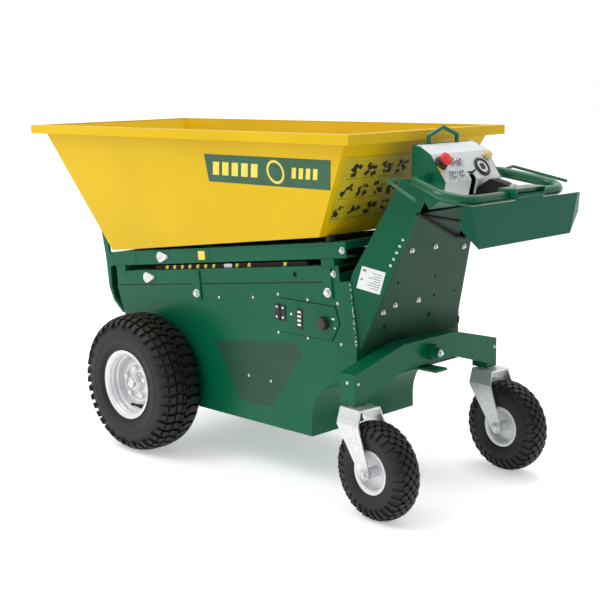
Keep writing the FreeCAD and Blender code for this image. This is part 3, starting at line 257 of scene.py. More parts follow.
ALLOY = bare_metal("cast_alloy", linear(130, 132, 135), linear(170, 172, 175), 0.48, 0.7, 80)
RUBBER = tyre_rubber()
BLACK_PLASTIC = moulded("black_moulded_plastic", linear(20, 20, 21), linear(36, 36, 37))
KNOB_PLASTIC = moulded("dark_knob_plastic", linear(34, 26, 24), linear(52, 40, 36), 0.42)
WHITE_FILM = moulded("white_label_film", linear(222, 226, 228), linear(238, 240, 240), 0.45, 400, 0.08)
INK = moulded("grey_print", linear(96, 100, 104), linear(120, 124, 126), 0.6, 400, 0.05)
BLACK_INK = moulded("black_print", linear(20, 20, 18), linear(36, 35, 30), 0.6, 400, 0.05)
GREEN_FILM = moulded("green_decal_film", linear(8, 74, 42), linear(16, 88, 52), 0.4, 300, 0.05)
YELLOW_FILM = moulded("yellow_decal_film", linear(232, 204, 62), linear(242, 216, 84), 0.4, 300, 0.05)
OLIVE_FILM = moulded("olive_decal_film", linear(178, 160, 22), linear(196, 178, 34), 0.45, 200, 0.08)
STOP_RED = moulded("stop_button_red", linear(205, 22, 24), linear(225, 40, 38), 0.3, 500, 0.05)
STOP_YELLOW = moulded("stop_surround_yellow", linear(232, 200, 40), linear(242, 214, 70), 0.4, 500, 0.08)
WHITE_LENS = moulded("white_lens", linear(228, 232, 230), linear(244, 246, 244), 0.25, 500, 0.03)
AMBER = translucent("pale_amber_knob", linear(236, 206, 120), linear(248, 228, 168))
PANEL = brushed_panel()
# Bright metal for the specks on the weld beads: painted highlights.
WELD_GLINT = bare_metal("weld_painted_highlight", linear(120, 140, 130), linear(215, 222, 218), 0.3, 0.5, 260)
SCREEN = perforated(linear(0, 70, 46), linear(6, 82, 56))

NODE_MATERIALS = {
    GREEN: ("body_wrap", "side_panel_left", "side_panel_right", "service_door", "lower_rail_frame",
            "upper_rail_frame", "tip_brackets", "tower_sides", "console_housing", "axle_beam",
            "tow_plate", "pivot_pin"),
    GREEN_GLOSS: ("handlebar", "stop_bracket", "lifting_loop"),
    # The stop plate's darker copy of the green: painted shade.
    GREEN_PLATE_SHADE: ("stop_plate",),
    # The darker copy of the green: painted shade.
    GREEN_SHADE: ("tower_rear_plate", "scissor_outer_arms", "scissor_inner_arms"),
    BLACK_PAINT: ("console_brace",),
    SCREEN: ("vent_screens",),
    ZINC: ("castor_fork_left", "castor_fork_right"),
    PLATED: ("lower_pivot_pins", "upper_pivot_pins", "panel_screws", "frame_bolts"),
    RIM_SILVER: ("castor_rim_left", "castor_rim_right", "drive_rim_left", "drive_rim_right"),
    RUBBER: ("castor_tyre_left", "castor_tyre_right", "drive_tyre_left", "drive_tyre_right", "tub_rests"),
    YELLOW: ("tub_shell", "tub_rim"),
    PANEL: ("console_panel",),
    BLACK_PLASTIC: ("door_hinge", "door_hinge_leaf", "charge_indicator", "speed_lever", "charge_gauge",
                    "battery_pack"),
    KNOB_PLASTIC: ("door_knob",),
    WHITE_FILM: ("rating_plate",),
    STOP_RED: ("estop_button",),
    STOP_YELLOW: ("estop_collar",),
    AMBER: ("indicator_lamp",),
    CHROME: ("button_bezels", "push_button_1", "push_button_2", "push_button_3", "push_button_4"),
    IRON: ("gear_motor_left", "gear_motor_right"),
    ALLOY: ("motor_controller", "hydraulic_unit"),
}
for material, names in NODE_MATERIALS.items():
    for name in names:
        mesh = NODES[name].data
        mesh.materials.clear()
        mesh.materials.append(material)


# ---------------------------------------------------------------- mesh helpers

class Mesh:
    """Collects faces with material numbers, then makes one object that rides on a body."""

    def __init__(self, name, *materials):
        self.name = name
        self.materials = materials
        self.points = []
        self.faces = []
        self.kinds = []

    def put(self, points, faces, kind=0, place=None):
        base = len(self.points)
        place = place or Matrix.Identity(4)
        self.points += [place @ Vector(point) for point in points]
        self.faces += [tuple(base + index for index in face) for face in faces]
        self.kinds += [kind] * len(faces)

    def make(self, body, slot, smooth=None, replaces=()):
        """The finished piece, smooth where faces meet under that many degrees."""
        mesh = bpy.data.meshes.new(self.name)
        mesh.from_pydata([tuple(point) for point in self.points], [], self.faces)
        for material in self.materials:
            mesh.materials.append(material)
        mesh.polygons.foreach_set("material_index", self.kinds)
        tidy = bmesh.new()
        tidy.from_mesh(mesh)
        bmesh.ops.recalc_face_normals(tidy, faces=tidy.faces)
        tidy.to_mesh(mesh)
        tidy.free()
        item = bpy.data.objects.new(self.name, mesh)
        bpy.context.scene.collection.objects.link(item)
        if smooth is not None:
            mesh.polygons.foreach_set("use_smooth", [True] * len(mesh.polygons))
            mesh.set_sharp_from_angle(angle=math.radians(smooth))
        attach(item, body)
        if replaces:
            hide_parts(*replaces)
        return item


def ring_faces(rows, count, closed_rows=False):
    """Quads between rows of points that each close on themselves."""
    faces = []
    for row in range(rows if closed_rows else rows - 1):
        following = (row + 1) % rows
        for step in range(count):
            ahead = (step + 1) % count
            faces.append((row * count + step, row * count + ahead,
                          following * count + ahead, following * count + step))
    return faces


def capped_faces(rows, count):
    """The faces of a closed solid: quads between its rows of points, and a face over each end."""
    last = (rows - 1) * count
    return ring_faces(rows, count) + [tuple(range(count - 1, -1, -1)), tuple(range(last, last + count))]


def turned(profile, count, lobes=0, depth=0.0):
    """The points of a (radius, height) profile turned about local Z, with lobes pressed into it."""
    points = []
    for radius, height in profile:
        for step in range(count):
            angle = 2 * math.pi * step / count
            wave = 1 - depth * (0.5 + 0.5 * math.cos(lobes * angle)) if lobes else 1
            points.append((radius * wave * math.cos(angle), radius * wave * math.sin(angle), height))
    return points


def lathe(mesh, profile, place, kind=0, count=32, lobes=0, depth=0.0):
    """A closed turned solid about local Z, with flat ends."""
    mesh.put(turned(profile, count, lobes, depth), capped_faces(len(profile), count), kind, place)


def torus_lathe(mesh, profile, place, kind=0, count=32):
    """A closed ring turned about local Z: the profile is a loop of (radius, height)."""
    mesh.put(turned(profile, count), ring_faces(len(profile), count, closed_rows=True), kind, place)


def slab(mesh, outline, thick, place, kind=0, chamfer=0.0):
    """A flat plate on local XY, with its top edge chamfered."""
    count = len(outline)
    middle = Vector((sum(x for x, y in outline) / count, sum(y for x, y in outline) / count))
    levels = [(0.0, 0.0), (thick - chamfer, 0.0)] + ([(thick, chamfer)] if chamfer else [])
    points = []
    for height, inset in levels:
        for x, y in outline:
            away = Vector((x, y)) - middle
            scale = 1 - inset / max(away.length, 1e-6)
            points.append((middle.x + away.x * scale, middle.y + away.y * scale, height))
    mesh.put(points, capped_faces(len(levels), count), kind, place)


def rectangle(width, height, x=0.0, y=0.0):
    """A rectangle's corners about a centre."""
    return [(x - width / 2, y - height / 2), (x + width / 2, y - height / 2),
            (x + width / 2, y + height / 2), (x - width / 2, y + height / 2)]


def frame_at(origin, normal, along):
    """A place whose local Z is a surface's normal and local X runs along it."""
    z = Vector(normal).normalized()
    x = (Vector(along) - z * Vector(along).dot(z)).normalized()
    y = z.cross(x)
    turn = Matrix((x, y, z)).transposed().to_4x4()
    return Matrix.Translation(Vector(origin)) @ turn


def tube(mesh, path, radii, kind=0, count=14):
    """A closed round tube through points, with a radius at each one."""
    path = [Vector(point) for point in path]
    rows = []
    side = None
    for index, point in enumerate(path):
        ahead = path[min(index + 1, len(path) - 1)] - path[max(index - 1, 0)]
        ahead.normalize()
        if side is None:
            side = ahead.orthogonal().normalized()
        side = (side - ahead * side.dot(ahead)).normalized()
        up = ahead.cross(side)
        for step in range(count):
            angle = 2 * math.pi * step / count
            rows.append(point + (side * math.cos(angle) + up * math.sin(angle)) * radii[index])
    mesh.put(rows, capped_faces(len(path), count), kind)


def dome(radius, height):
    """The profile of a low domed screw head."""
    return [(radius, 0), (radius, height * 0.35), (radius * 0.88, height * 0.7),
            (radius * 0.6, height * 0.95), (radius * 0.3, height), (radius * 0.28, height * 0.7)]


def hex_head(mesh, place, radius, height, kind=0):
    """A hexagon head with chamfered corners on a washer."""
    lathe(mesh, [(radius * 1.45, 0), (radius * 1.45, height * 0.2), (radius * 1.35, height * 0.26)],
          place, kind, 24)
    lift = Matrix.Translation((0, 0, height * 0.24))
    points = []
    levels = [(0, 1.0), (height * 0.62, 1.0), (height * 0.76, 0.86)]
    for level, scale in levels:
        for step in range(6):
            angle = math.pi * step / 3
            points.append((radius * scale * math.cos(angle), radius * scale * math.sin(angle), level))
    mesh.put(points, capped_faces(len(levels), 6), kind, place @ lift)


# ---------------------------------------------------------------- where things are

SIDES = {-1: "left", 1: "right"}
RAIL_SLOPE = math.radians(6.7)
LOWER_PIN = Vector((-0.471, 0, 0.594))
UPPER_RAIL = 0.071
BODY_HALF = 0.25
TOWER_LEAN = 0.352
TOWER_TOE = 0.602
TUB_FLARE = 0.2109
TUB_FLOOR = 0.600
STOP_SPOT = (0.748, -0.112)
BUTTON_SPOTS = ((0.745, -0.0615), (0.747, -0.0315), (0.771, -0.084), (0.770, -0.046))
GAUGE_SPOT = (0.762, 0.068)
LAMP_SPOT = (0.742, 0.113)


def on_rail(u, y, v):
    """A point in the rails' own frame: u along them, v square to them."""
    return LOWER_PIN + Vector((u * math.cos(RAIL_SLOPE) - v * math.sin(RAIL_SLOPE), y,
                               u * math.sin(RAIL_SLOPE) + v * math.cos(RAIL_SLOPE)))


RAIL_ALONG = Vector((math.cos(RAIL_SLOPE), 0, math.sin(RAIL_SLOPE)))
TAB_RUNS = [(x - LOWER_PIN.x) / math.cos(RAIL_SLOPE) for x in (-0.202, 0.418)]


def tower_back(z):
    """The leaning rear plate's x at a height."""
    return 0.542 + TOWER_LEAN * (z - 0.470)


TOWER_NORMAL = Vector((1, 0, -TOWER_LEAN)).normalized()


def body_side(x, z, side=-1, out=0.0):
    """A place on a side of the body, its local Z facing out."""
    return frame_at((x, side * (BODY_HALF + out), z), (0, side, 0), (1, 0, 0))


def tower_flank(x, z, side=-1):
    """A point on a toed-in side of the tower."""
    return Vector((x, side * (BODY_HALF - TOWER_TOE * (x - 0.515)), z))


PANEL_DROP = 0.078
PANEL_RUN = 0.055
SLOPE_ANGLE = math.atan2(PANEL_DROP, PANEL_RUN)
PANEL_NORMAL = Vector((math.sin(SLOPE_ANGLE), 0, math.cos(SLOPE_ANGLE)))


def on_panel(x, y, lift=0.0):
    """A place on the console's sloping panel, its local Z along the panel's normal."""
    z = 1.066 - (x - 0.729) * PANEL_DROP / PANEL_RUN
    spot = Vector((x, y, z)) + PANEL_NORMAL * lift
    return frame_at(spot, PANEL_NORMAL, (0, 1, 0))


def castor_frame(side):
    """A castor wheel's centre, its local Z along the axle towards the machine's right."""
    turn = math.radians(-5)
    forward = Vector((math.cos(turn), math.sin(turn), 0))
    axle = Vector((-math.sin(turn), math.cos(turn), 0))
    hub = Vector((0.596, side * 0.323, 0.150)) + forward * 0.099
    return frame_at(hub, axle, (0, 0, 1))


def drive_frame(side):
    """A driven wheel's centre, its local Z pointing out of the machine."""
    return frame_at((-0.398, side * 0.347, 0.2425), (0, side, 0), (0, 0, 1))


# ---------------------------------------------------------------- tyres

class Section:
    """A tyre's cross-section as a smooth curve, measured along it from the crown's centre."""

    def __init__(self, inner, crown, half, bead_half, power):
        middle = inner + (crown - inner) * 0.48
        points = []
        steps = 90
        start = -math.acos(min(1, (bead_half / half) ** (power / 2)))
        for index in range(steps + 1):
            angle = math.pi / 2 + (start - math.pi / 2) * index / steps
            cosine = abs(math.cos(angle)) ** (2 / power)
            sine = math.copysign(abs(math.sin(angle)) ** (2 / power), math.sin(angle))
            reach = (crown - middle) if sine > 0 else (middle - inner) * 1.12
            points.append((max(middle + reach * sine, inner), half * cosine))
        self.curve = points
        self.lengths = [0.0]
        for before, after in zip(points, points[1:]):
            self.lengths.append(self.lengths[-1] + math.dist(before, after))
        self.reach = self.lengths[-1]

    def at(self, run):
        """The radius, axial place and outward direction at a distance along the section."""
        side = math.copysign(1, run)
        run = min(abs(run), self.reach * 0.9999)
        index = 0
        while self.lengths[index + 1] < run:
            index += 1
        share = (run - self.lengths[index]) / max(self.lengths[index + 1] - self.lengths[index], 1e-9)
        (r0, y0), (r1, y1) = self.curve[index], self.curve[index + 1]
        step = Vector((r1 - r0, y1 - y0)).normalized()
        return r0 + (r1 - r0) * share, side * (y0 + (y1 - y0) * share), Vector((step.y, -step.x * side))


def wheel_point(radius, angle, axial):
    """A point on a wheel, in its own frame."""
    return (radius * math.cos(angle), radius * math.sin(angle), axial)


def carcass(mesh, section, inner, place, count):
    """The smooth body of a tyre, closed at the rim."""
    rows = []
    stations = [section.reach * (index / 34 * 2 - 1) for index in range(35)]
    for station in stations:
        radius, axial, _ = section.at(station)
        rows.append((radius, axial))
    bead = rows[-1][1]
    rows += [(inner - 0.002, bead * 0.96), (inner - 0.002, -bead * 0.96)]
    torus_lathe(mesh, rows, place, 0, count)


def lug(mesh, section, place, stations, depth, draft=0.0012):
    """One tread block: stations are (run, first angle, last angle) along the section."""
    points = []
    for number, (run, first, last) in enumerate(stations):
        radius, axial, out = section.at(run)
        ends = 0.0
        if number in (0, len(stations) - 1):
            ends = draft * (1 if number == 0 else -1)
        top_radius, top_axial, top_out = section.at(run + ends)
        inset = draft / radius
        foot = (radius - out.x * 0.002, axial - out.y * 0.002)
        head = (top_radius + top_out.x * depth, top_axial + top_out.y * depth)
        points += [wheel_point(foot[0], first, foot[1]), wheel_point(head[0], first + inset, head[1]),
                   wheel_point(head[0], last - inset, head[1]), wheel_point(foot[0], last, foot[1])]
    mesh.put(points, capped_faces(len(stations), 4), 0, place)


def ribs(mesh, section, place, runs, height, width=0.0012, count=96):
    """Raised rings moulded on the side walls."""
    for run in runs:
        profile = []
        for offset, lift in ((-width * 2, -0.001), (-width, height),
                             (width, height), (width * 2, -0.001)):
            radius, axial, out = section.at(run + offset)
            profile.append((radius + out.x * lift, axial + out.y * lift))
        torus_lathe(mesh, profile, place, 0, count)


def drive_tyre(side):
    """The wide drive tyre: wavy columns of blocks and shoulder lugs."""
    name = SIDES[side]
    mesh = Mesh(f"drive_tyre_tread_{name}", RUBBER)
    place = drive_frame(side)
    depth = 0.0110
    section = Section(0.113, 0.2425 - depth, 0.0825, 0.066, 2.9)
    carcass(mesh, section, 0.113, place, 144)
    count = 42
    pitch = 2 * math.pi / count

    def block(angle, low, high, shape):
        stations = []
        for run, (first, last) in zip([low + (high - low) * k / (len(shape) - 1)
                                       for k in range(len(shape))], shape):
            stations.append((run, angle + first * pitch, angle + last * pitch))
        lug(mesh, section, place, stations, depth)

    for step in range(count):
        angle = step * pitch
        block(angle, -0.0125, -0.0015, [(0.04, 0.78), (0.10, 0.84)])
        block(angle + pitch * 0.5, 0.0015, 0.0125, [(0.04, 0.78), (-0.02, 0.72)])
        for half in (-1, 1):
            turn = angle + (pitch * 0.5 if half > 0 else 0)
            inner = [(0.10, 0.82), (0.26, 0.98), (0.20, 0.92)]
            outer = [(0.20, 0.90), (0.02, 0.74), (0.10, 0.80)]
            shoulder = [(0.10, 0.80), (0.20, 0.86), (0.22, 0.80), (0.24, 0.74)]
            block(turn, half * 0.016, half * 0.037, inner)
            block(turn, half * 0.0405, half * 0.060, outer)
            block(turn, half * 0.0635, half * (0.090 if step % 2 else 0.083), shoulder)
    for half in (-1, 1):
        ribs(mesh, section, place, [half * 0.121, half * 0.150, half * 0.158], 0.0012)
    mesh.make(f"drive_wheel_{name}", "tyre_black", 32, (f"drive_tyre_{name}",))


def castor_tyre(side):
    """The castor tyre: staggered diamond knobs with ribbed shoulders."""
    name = SIDES[side]
    mesh = Mesh(f"castor_tyre_tread_{name}", RUBBER)
    place = castor_frame(side)
    depth = 0.0085
    section = Section(0.060, 0.150 - depth, 0.0435, 0.028, 2.35)
    carcass(mesh, section, 0.060, place, 112)
    count = 30
    pitch = 2 * math.pi / count

    def knob(angle, run, long, wide):
        stations = [(run - long, angle - wide * 0.12 * pitch, angle + wide * 0.12 * pitch),
                    (run - long * 0.35, angle - wide * 0.42 * pitch, angle + wide * 0.42 * pitch),
                    (run + long * 0.35, angle - wide * 0.42 * pitch, angle + wide * 0.42 * pitch),
                    (run + long, angle - wide * 0.12 * pitch, angle + wide * 0.12 * pitch)]
        lug(mesh, section, place, stations, depth, 0.0009)

    for step in range(count):
        angle = step * pitch
        knob(angle, 0.0, 0.0082, 0.84)
        for half in (-1, 1):
            knob(angle + pitch / 2, half * 0.0108, 0.0082, 0.84)
            knob(angle, half * 0.0220, 0.0082, 0.84)
            rib = [(half * 0.0285, angle + pitch * 0.30, angle + pitch * 0.72),
                   (half * 0.038, angle + pitch * 0.32, angle + pitch * 0.74),
                   (half * 0.050, angle + pitch * 0.36, angle + pitch * 0.70),
                   (half * 0.060, angle + pitch * 0.42, angle + pitch * 0.62)]
            lug(mesh, section, place, rib, depth * 0.75, 0.0009)
    for half in (-1, 1):
        ribs(mesh, section, place, [half * 0.078, half * 0.096], 0.0008, 0.0009)
    mesh.make(f"castor_wheel_{name}", "tyre_black", 32, (f"castor_tyre_{name}",))


for side in SIDES:
    drive_tyre(side)
    castor_tyre(side)


# ---------------------------------------------------------------- wheel details

def wheel_details(side):
    """Valve stems, hub caps and axle nuts."""
    name = SIDES[side]
    place = drive_frame(side)
    valve = Mesh(f"drive_valve_{name}", BLACK_PLASTIC)
    lean = place @ Matrix.Rotation(math.radians(200), 4, "Z") @ Matrix.Translation((0.088, 0, 0.030))
    lean = lean @ Matrix.Rotation(math.radians(-24), 4, "Y")
    lathe(valve, [(0.0075, -0.006), (0.0072, 0.010), (0.0046, 0.020), (0.0042, 0.034), (0.0050, 0.036),
                  (0.0050, 0.044), (0.003, 0.046)], lean, 0, 20)
    valve.make(f"drive_wheel_{name}", "plastic_black", 35)
    cap = Mesh(f"drive_hub_nut_{name}", PLATED)
    lathe(cap, [(0.030, 0.0302), (0.029, 0.036), (0.024, 0.0385), (0.019, 0.0385)], place, 0, 32)
    hex_head(cap, place @ Matrix.Translation((0, 0, 0.0385)), 0.017, 0.016)
    cap.make(f"drive_wheel_{name}", "zinc", 30)
    steps = Mesh(f"drive_rim_steps_{name}", RIM_SILVER)
    outer_step = [(0.1038, 0.0600), (0.0995, 0.0560), (0.0985, 0.0490), (0.1030, 0.0470)]
    inner_step = [(0.1020, 0.0400), (0.0955, 0.0350), (0.0945, 0.0290), (0.1005, 0.0270)]
    disc_ridge = [(0.0620, 0.0228), (0.0600, 0.0275), (0.0560, 0.0285), (0.0540, 0.0225)]
    for profile, count in ((outer_step, 96), (inner_step, 96), (disc_ridge, 72)):
        torus_lathe(steps, profile, place, 0, count)
    steps.make(f"drive_wheel_{name}", "zinc", 40)
    hub = castor_frame(side)
    nuts = Mesh(f"castor_axle_nuts_{name}", PLATED)
    for face in (-1, 1):
        flip = hub @ Matrix.Translation((0, 0, face * 0.0552))
        if face < 0:
            flip = flip @ Matrix.Rotation(math.pi, 4, "X")
        hex_head(nuts, flip, 0.0125, 0.011)
    nuts.make(f"castor_{name}", "zinc", 30)


for side in SIDES:
    wheel_details(side)


# ---------------------------------------------------------------- fasteners

def fasteners():
    """Screw heads on the panels, bolts on the lugs, rivets and bolts on the tower and beam."""
    screws = Mesh("panel_screw_heads", PLATED)
    places = ((-0.086, 0.566), (0.083, 0.586), (0.201, 0.610), (0.333, 0.607), (0.462, 0.611),
              (0.200, 0.485), (0.333, 0.484), (0.476, 0.484), (0.053, 0.318), (0.160, 0.316))
    for x, z in places:
        for side in SIDES:
            lathe(screws, dome(0.0052, 0.0032), body_side(x, z, side), 0, 20)
    screws.make("chassis", "zinc", 40, ("panel_screws",))

    bolts = Mesh("frame_bolt_heads", PLATED)
    for u in TAB_RUNS:
        for side in SIDES:
            spot = frame_at(on_rail(u, side * (BODY_HALF + 0.005), -0.058), (0, side, 0), (1, 0, 0.2))
            hex_head(bolts, spot, 0.0105, 0.011)
    for y, z in ((-0.124, 0.777), (-0.012, 0.777), (0.137, 0.761), (-0.131, 0.604), (-0.019, 0.604),
                 (-0.180, 0.588)):
        spot = frame_at((tower_back(z), y, z), TOWER_NORMAL, (0, 1, 0.3))
        hex_head(bolts, spot, 0.0062, 0.007)
    bolts.make("chassis", "zinc", 30, ("frame_bolts",))

    rivets = Mesh("tower_rivets", PLATED)
    for side in SIDES:
        normal = Vector((TOWER_TOE, side, 0)).normalized()
        for step in range(5):
            share = step / 4
            x = 0.652 - 0.032 * share
            z = 0.814 - 0.078 * share
            spot = frame_at(tower_flank(x, z, side), normal, (0, 0, 1))
            lathe(rivets, dome(0.0048, 0.003), spot, 0, 20)
    rivets.make("chassis", "zinc", 40)

    for name, body, x, z in (("rail_end_bolts", "lift_frame", 0.482, 0.776),
                             ("lower_rail_end_bolts", "chassis", 0.446, 0.700)):
        ends = Mesh(name, PLATED)
        for side in SIDES:
            hex_head(ends, body_side(x, z, side), 0.0075, 0.008)
        ends.make(body, "zinc", 30)

    beam = Mesh("beam_post_rivets", PLATED)
    for side in SIDES:
        behind = frame_at((0.622, side * 0.336, 0.400), (1, 0, 0), (0, 1, 0))
        for spot in (behind, body_side(0.592, 0.402, side, 0.100)):
            lathe(beam, dome(0.0055, 0.0035), spot, 0, 20)
    beam.make("rear_beam", "zinc", 40)

    pin = Mesh("beam_pin_bolt", PLATED)
    hex_head(pin, frame_at((0.662, 0, 0.442), (1, 0, 0), (0, 1, 0)), 0.0078, 0.009)
    pin.make("chassis", "zinc", 30)


fasteners()


# ---------------------------------------------------------------- seams, trims and decals

def weld_bead(name, start, end, body, seed):
    """A rippled weld bead between two points, with bright metal specks along it as painted highlights."""
    start = Vector(start)
    end = Vector(end)
    chance = random.Random(seed)
    rows = int((end - start).length / 0.0024)
    path = [start.lerp(end, index / rows) for index in range(rows + 1)]
    radii = [0.0026 * (0.8 + 0.2 * abs(math.sin(index * 0.9))) for index in range(rows + 1)]
    radii[0] = radii[-1] = 0.001
    mesh = Mesh(name, GREEN, WELD_GLINT)
    tube(mesh, path, radii, 0, 10)
    outward = Vector((0, 1 if start.y > 0 else -1, 0))
    # Bright specks on the bead: painted highlights on its ripples.
    for _ in range(46):
        spot = start.lerp(end, chance.random()) + outward * 0.0020
        spot.x += chance.uniform(-0.0022, 0.0022)
        size = chance.uniform(0.0012, 0.0032)
        lathe(mesh, dome(size, size * 0.9), frame_at(spot, outward, (1, 0, chance.uniform(-1, 1))), 1, 10)
    return mesh.make(body, "frame_green", 60)


for side, name in SIDES.items():
    weld_bead(f"tower_weld_{name}", (0.5165, side * 0.2505, 0.680), (0.5405, side * 0.2495, 0.484),
              "chassis", 3 + side)


def tower_trim():
    """The plate recessed behind the rear plate's cut corner, standing in for the tower's inside face as
    light falls on it; the cut's black edging; and two black domes that are painted shade of holes.
    """
    mesh = Mesh("tower_edge_trim", BLACK_PAINT, GREEN_SHADE)

    def rear(y, z, behind=0.001):
        return Vector((tower_back(z) - behind, y, z))

    edge = [rear(-0.148, 0.8905), rear(-0.139, 0.8905), rear(0.074, 0.7985), rear(0.134, 0.7885)]
    tube(mesh, edge, [0.0042] * 4, 0, 10)
    tube(mesh, [rear(-0.136, 0.888, 0.010), rear(-0.030, 0.868, 0.014), rear(0.122, 0.840, 0.016)],
         [0.0035] * 3, 0, 10)
    tube(mesh, [rear(-0.118, 0.884, 0.006), rear(0.086, 0.806, 0.008)], [0.0032] * 2, 0, 10)
    # A plate set close behind the cut so the opening shows lit green: a stand-in for the light on the
    # tower's inside face.
    outline = [(-0.136, 0.886), (0.070, 0.788), (0.125, 0.778), (0.118, 0.892)]
    points = [rear(y, z, 0.022) for y, z in outline] + [rear(y, z, 0.019) for y, z in outline]
    mesh.put(points, capped_faces(2, 4), 1)
    # Two black domes low on the rear plate where it shows dark holes: painted shade of the holes.
    for y, z in ((-0.151, 0.536), (0.060, 0.545)):
        lathe(mesh, dome(0.0085, 0.004), frame_at(rear(y, z, 0), TOWER_NORMAL, (0, 1, 0)), 0, 24)
    mesh.make("chassis", "frame_dark", 40)


tower_trim()


def tub_wall(x, z, side=-1, out=0.0):
    """A point on the tub's side wall."""
    half = 0.234 + (z - TUB_FLOOR) * TUB_FLARE + out
    return Vector((x, side * half, z))


def side_band():
    """A plain green band with slanted yellow stripes on each side of the tub."""
    for side, name in SIDES.items():
        normal = Vector((0, side, -TUB_FLARE)).normalized()
        along = Vector((1, 0, 0)) * -side
        middle = tub_wall(0.232, 1.008, side, 0.0003)
        place = frame_at(middle, normal, along)
        band = Mesh(f"tub_band_{name}", GREEN_FILM, YELLOW_FILM)
        half_long, half_high = 0.282, 0.046
        slab(band, [(-half_long, -half_high), (half_long - 0.020, -half_high),
                    (half_long, half_high), (-half_long, half_high)], 0.0005, place, 0)
        marks = [(-0.235, 0.030), (-0.190, 0.030), (-0.145, 0.030), (-0.100, 0.030), (-0.055, 0.030),
                 (0.120, 0.018), (0.150, 0.018), (0.180, 0.018), (0.210, 0.018)]
        for x, wide in marks:
            tall = 0.044 if wide > 0.02 else 0.034
            lean = tall * 0.28
            slab(band, [(x - wide / 2 - lean / 2, -tall / 2), (x + wide / 2 - lean / 2, -tall / 2),
                        (x + wide / 2 + lean / 2, tall / 2), (x - wide / 2 + lean / 2, tall / 2)],
                 0.0004, place @ Matrix.Translation((0, 0, 0.0005)), 1)
        ring = place @ Matrix.Translation((0.040, 0, 0.0005))
        torus_lathe(band, [(0.030, 0), (0.030, 0.0004), (0.038, 0.0004), (0.038, 0)], ring, 1, 36)
        band.make("tub", "tub_yellow")


side_band()


def guide_sheet():
    """An olive sheet of made-up block shapes on the tub's rear wall."""
    slope = 0.5744
    normal = Vector((1, 0, -slope)).normalized()

    def rear_wall(y, z):
        return Vector((0.291 + (z - TUB_FLOOR) * slope + 0.0006, y, z))

    place = frame_at(rear_wall(-0.150, 0.957), normal, (0, 1, 0))
    sheet = Mesh("tub_guide_sheet", OLIVE_FILM, BLACK_INK)
    slab(sheet, [(-0.118, -0.118), (0.146, -0.118), (0.146, 0.118), (-0.158, 0.118)], 0.0005, place, 0)
    chance = random.Random(4)
    top = place @ Matrix.Translation((0, 0, 0.0005))
    for column in range(4):
        for row in range(3):
            x = -0.092 + column * 0.070
            y = 0.072 - row * 0.072
            for _ in range(9):
                dx = chance.uniform(-0.018, 0.018)
                dy = chance.uniform(-0.020, 0.018)
                wide = chance.uniform(0.004, 0.022)
                tall = chance.uniform(0.003, 0.016)
                turn = Matrix.Rotation(chance.uniform(-0.9, 0.9), 4, "Z")
                slab(sheet, rectangle(wide, tall), 0.0003,
                     top @ Matrix.Translation((x + dx, y + dy, 0)) @ turn, 1)
            slab(sheet, rectangle(0.050, 0.0016, x, y - 0.030), 0.0003, top, 1)
    sheet.make("tub", "tub_yellow")


guide_sheet()


def rating_marks():
    """Grey rows on the blank plate of the tower's left side."""
    normal = Vector((TOWER_TOE, -1, 0)).normalized()
    marks = Mesh("rating_plate_rows", INK)
    lo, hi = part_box("rating_plate")
    middle = (Vector(lo) + Vector(hi)) / 2 + normal * 0.0005
    up = Vector((0, 0, 1))
    along = up.cross(normal)
    place = frame_at(middle, normal, along) @ Matrix.Rotation(math.radians(-15), 4, "Z")
    for row in range(7):
        wide = (0.030, 0.024, 0.038, 0.020, 0.034, 0.038, 0.026)[row]
        slab(marks, rectangle(wide, 0.0018, 0.030 - wide / 2, 0.022 - row * 0.0076), 0.0003, place)
    slab(marks, rectangle(0.010, 0.006, -0.026, 0.024), 0.0003, place)
    slab(marks, rectangle(0.006, 0.006, -0.028, -0.004), 0.0003, place)
    marks.make("chassis", "plastic_white")


rating_marks()


def warning_bar():
    """The striped guard strip that lies on the lower rails under the lifted frame."""
    for side, name in SIDES.items():
        mesh = Mesh(f"rail_guard_strip_{name}", BLACK_PAINT, YELLOW_FILM, WHITE_FILM)
        u0, u1 = 0.035, 0.800
        low, high = 0.0252, 0.0395
        inner, outer = side * 0.214, side * 0.236
        points = []
        for u in (u0, u1):
            for y, v in ((inner, low), (outer, low), (outer, high), (inner, high)):
                points.append(on_rail(u, y, v))
        mesh.put(points, capped_faces(2, 4), 0)
        face = frame_at(on_rail(0, outer, (low + high) / 2), (0, side, 0), RAIL_ALONG)
        direction = 1 if face.col[0].xyz.dot(RAIL_ALONG) > 0 else -1
        spots = [0.10 + 0.042 * step for step in range(7)] + [0.47, 0.53, 0.70]
        for u in spots:
            x = u * direction
            slab(mesh, [(x - 0.009, -0.0062), (x + 0.005, -0.0062),
                        (x + 0.009, 0.0062), (x - 0.005, 0.0062)], 0.0004, face, 1)
        slab(mesh, rectangle(0.040, 0.0124, 0.425 * direction), 0.0004, face, 2)
        mesh.make("chassis", "frame_dark")


warning_bar()


def rail_marker():
    """A small plain yellow square on each upper rail."""
    mesh = Mesh("upper_rail_marker", YELLOW_FILM)
    for side in SIDES:
        place = frame_at(on_rail(0.310, side * BODY_HALF, UPPER_RAIL), (0, side, 0), RAIL_ALONG)
        slab(mesh, rectangle(0.034, 0.030), 0.0005, place)
    mesh.make("lift_frame", "frame_green")


rail_marker()


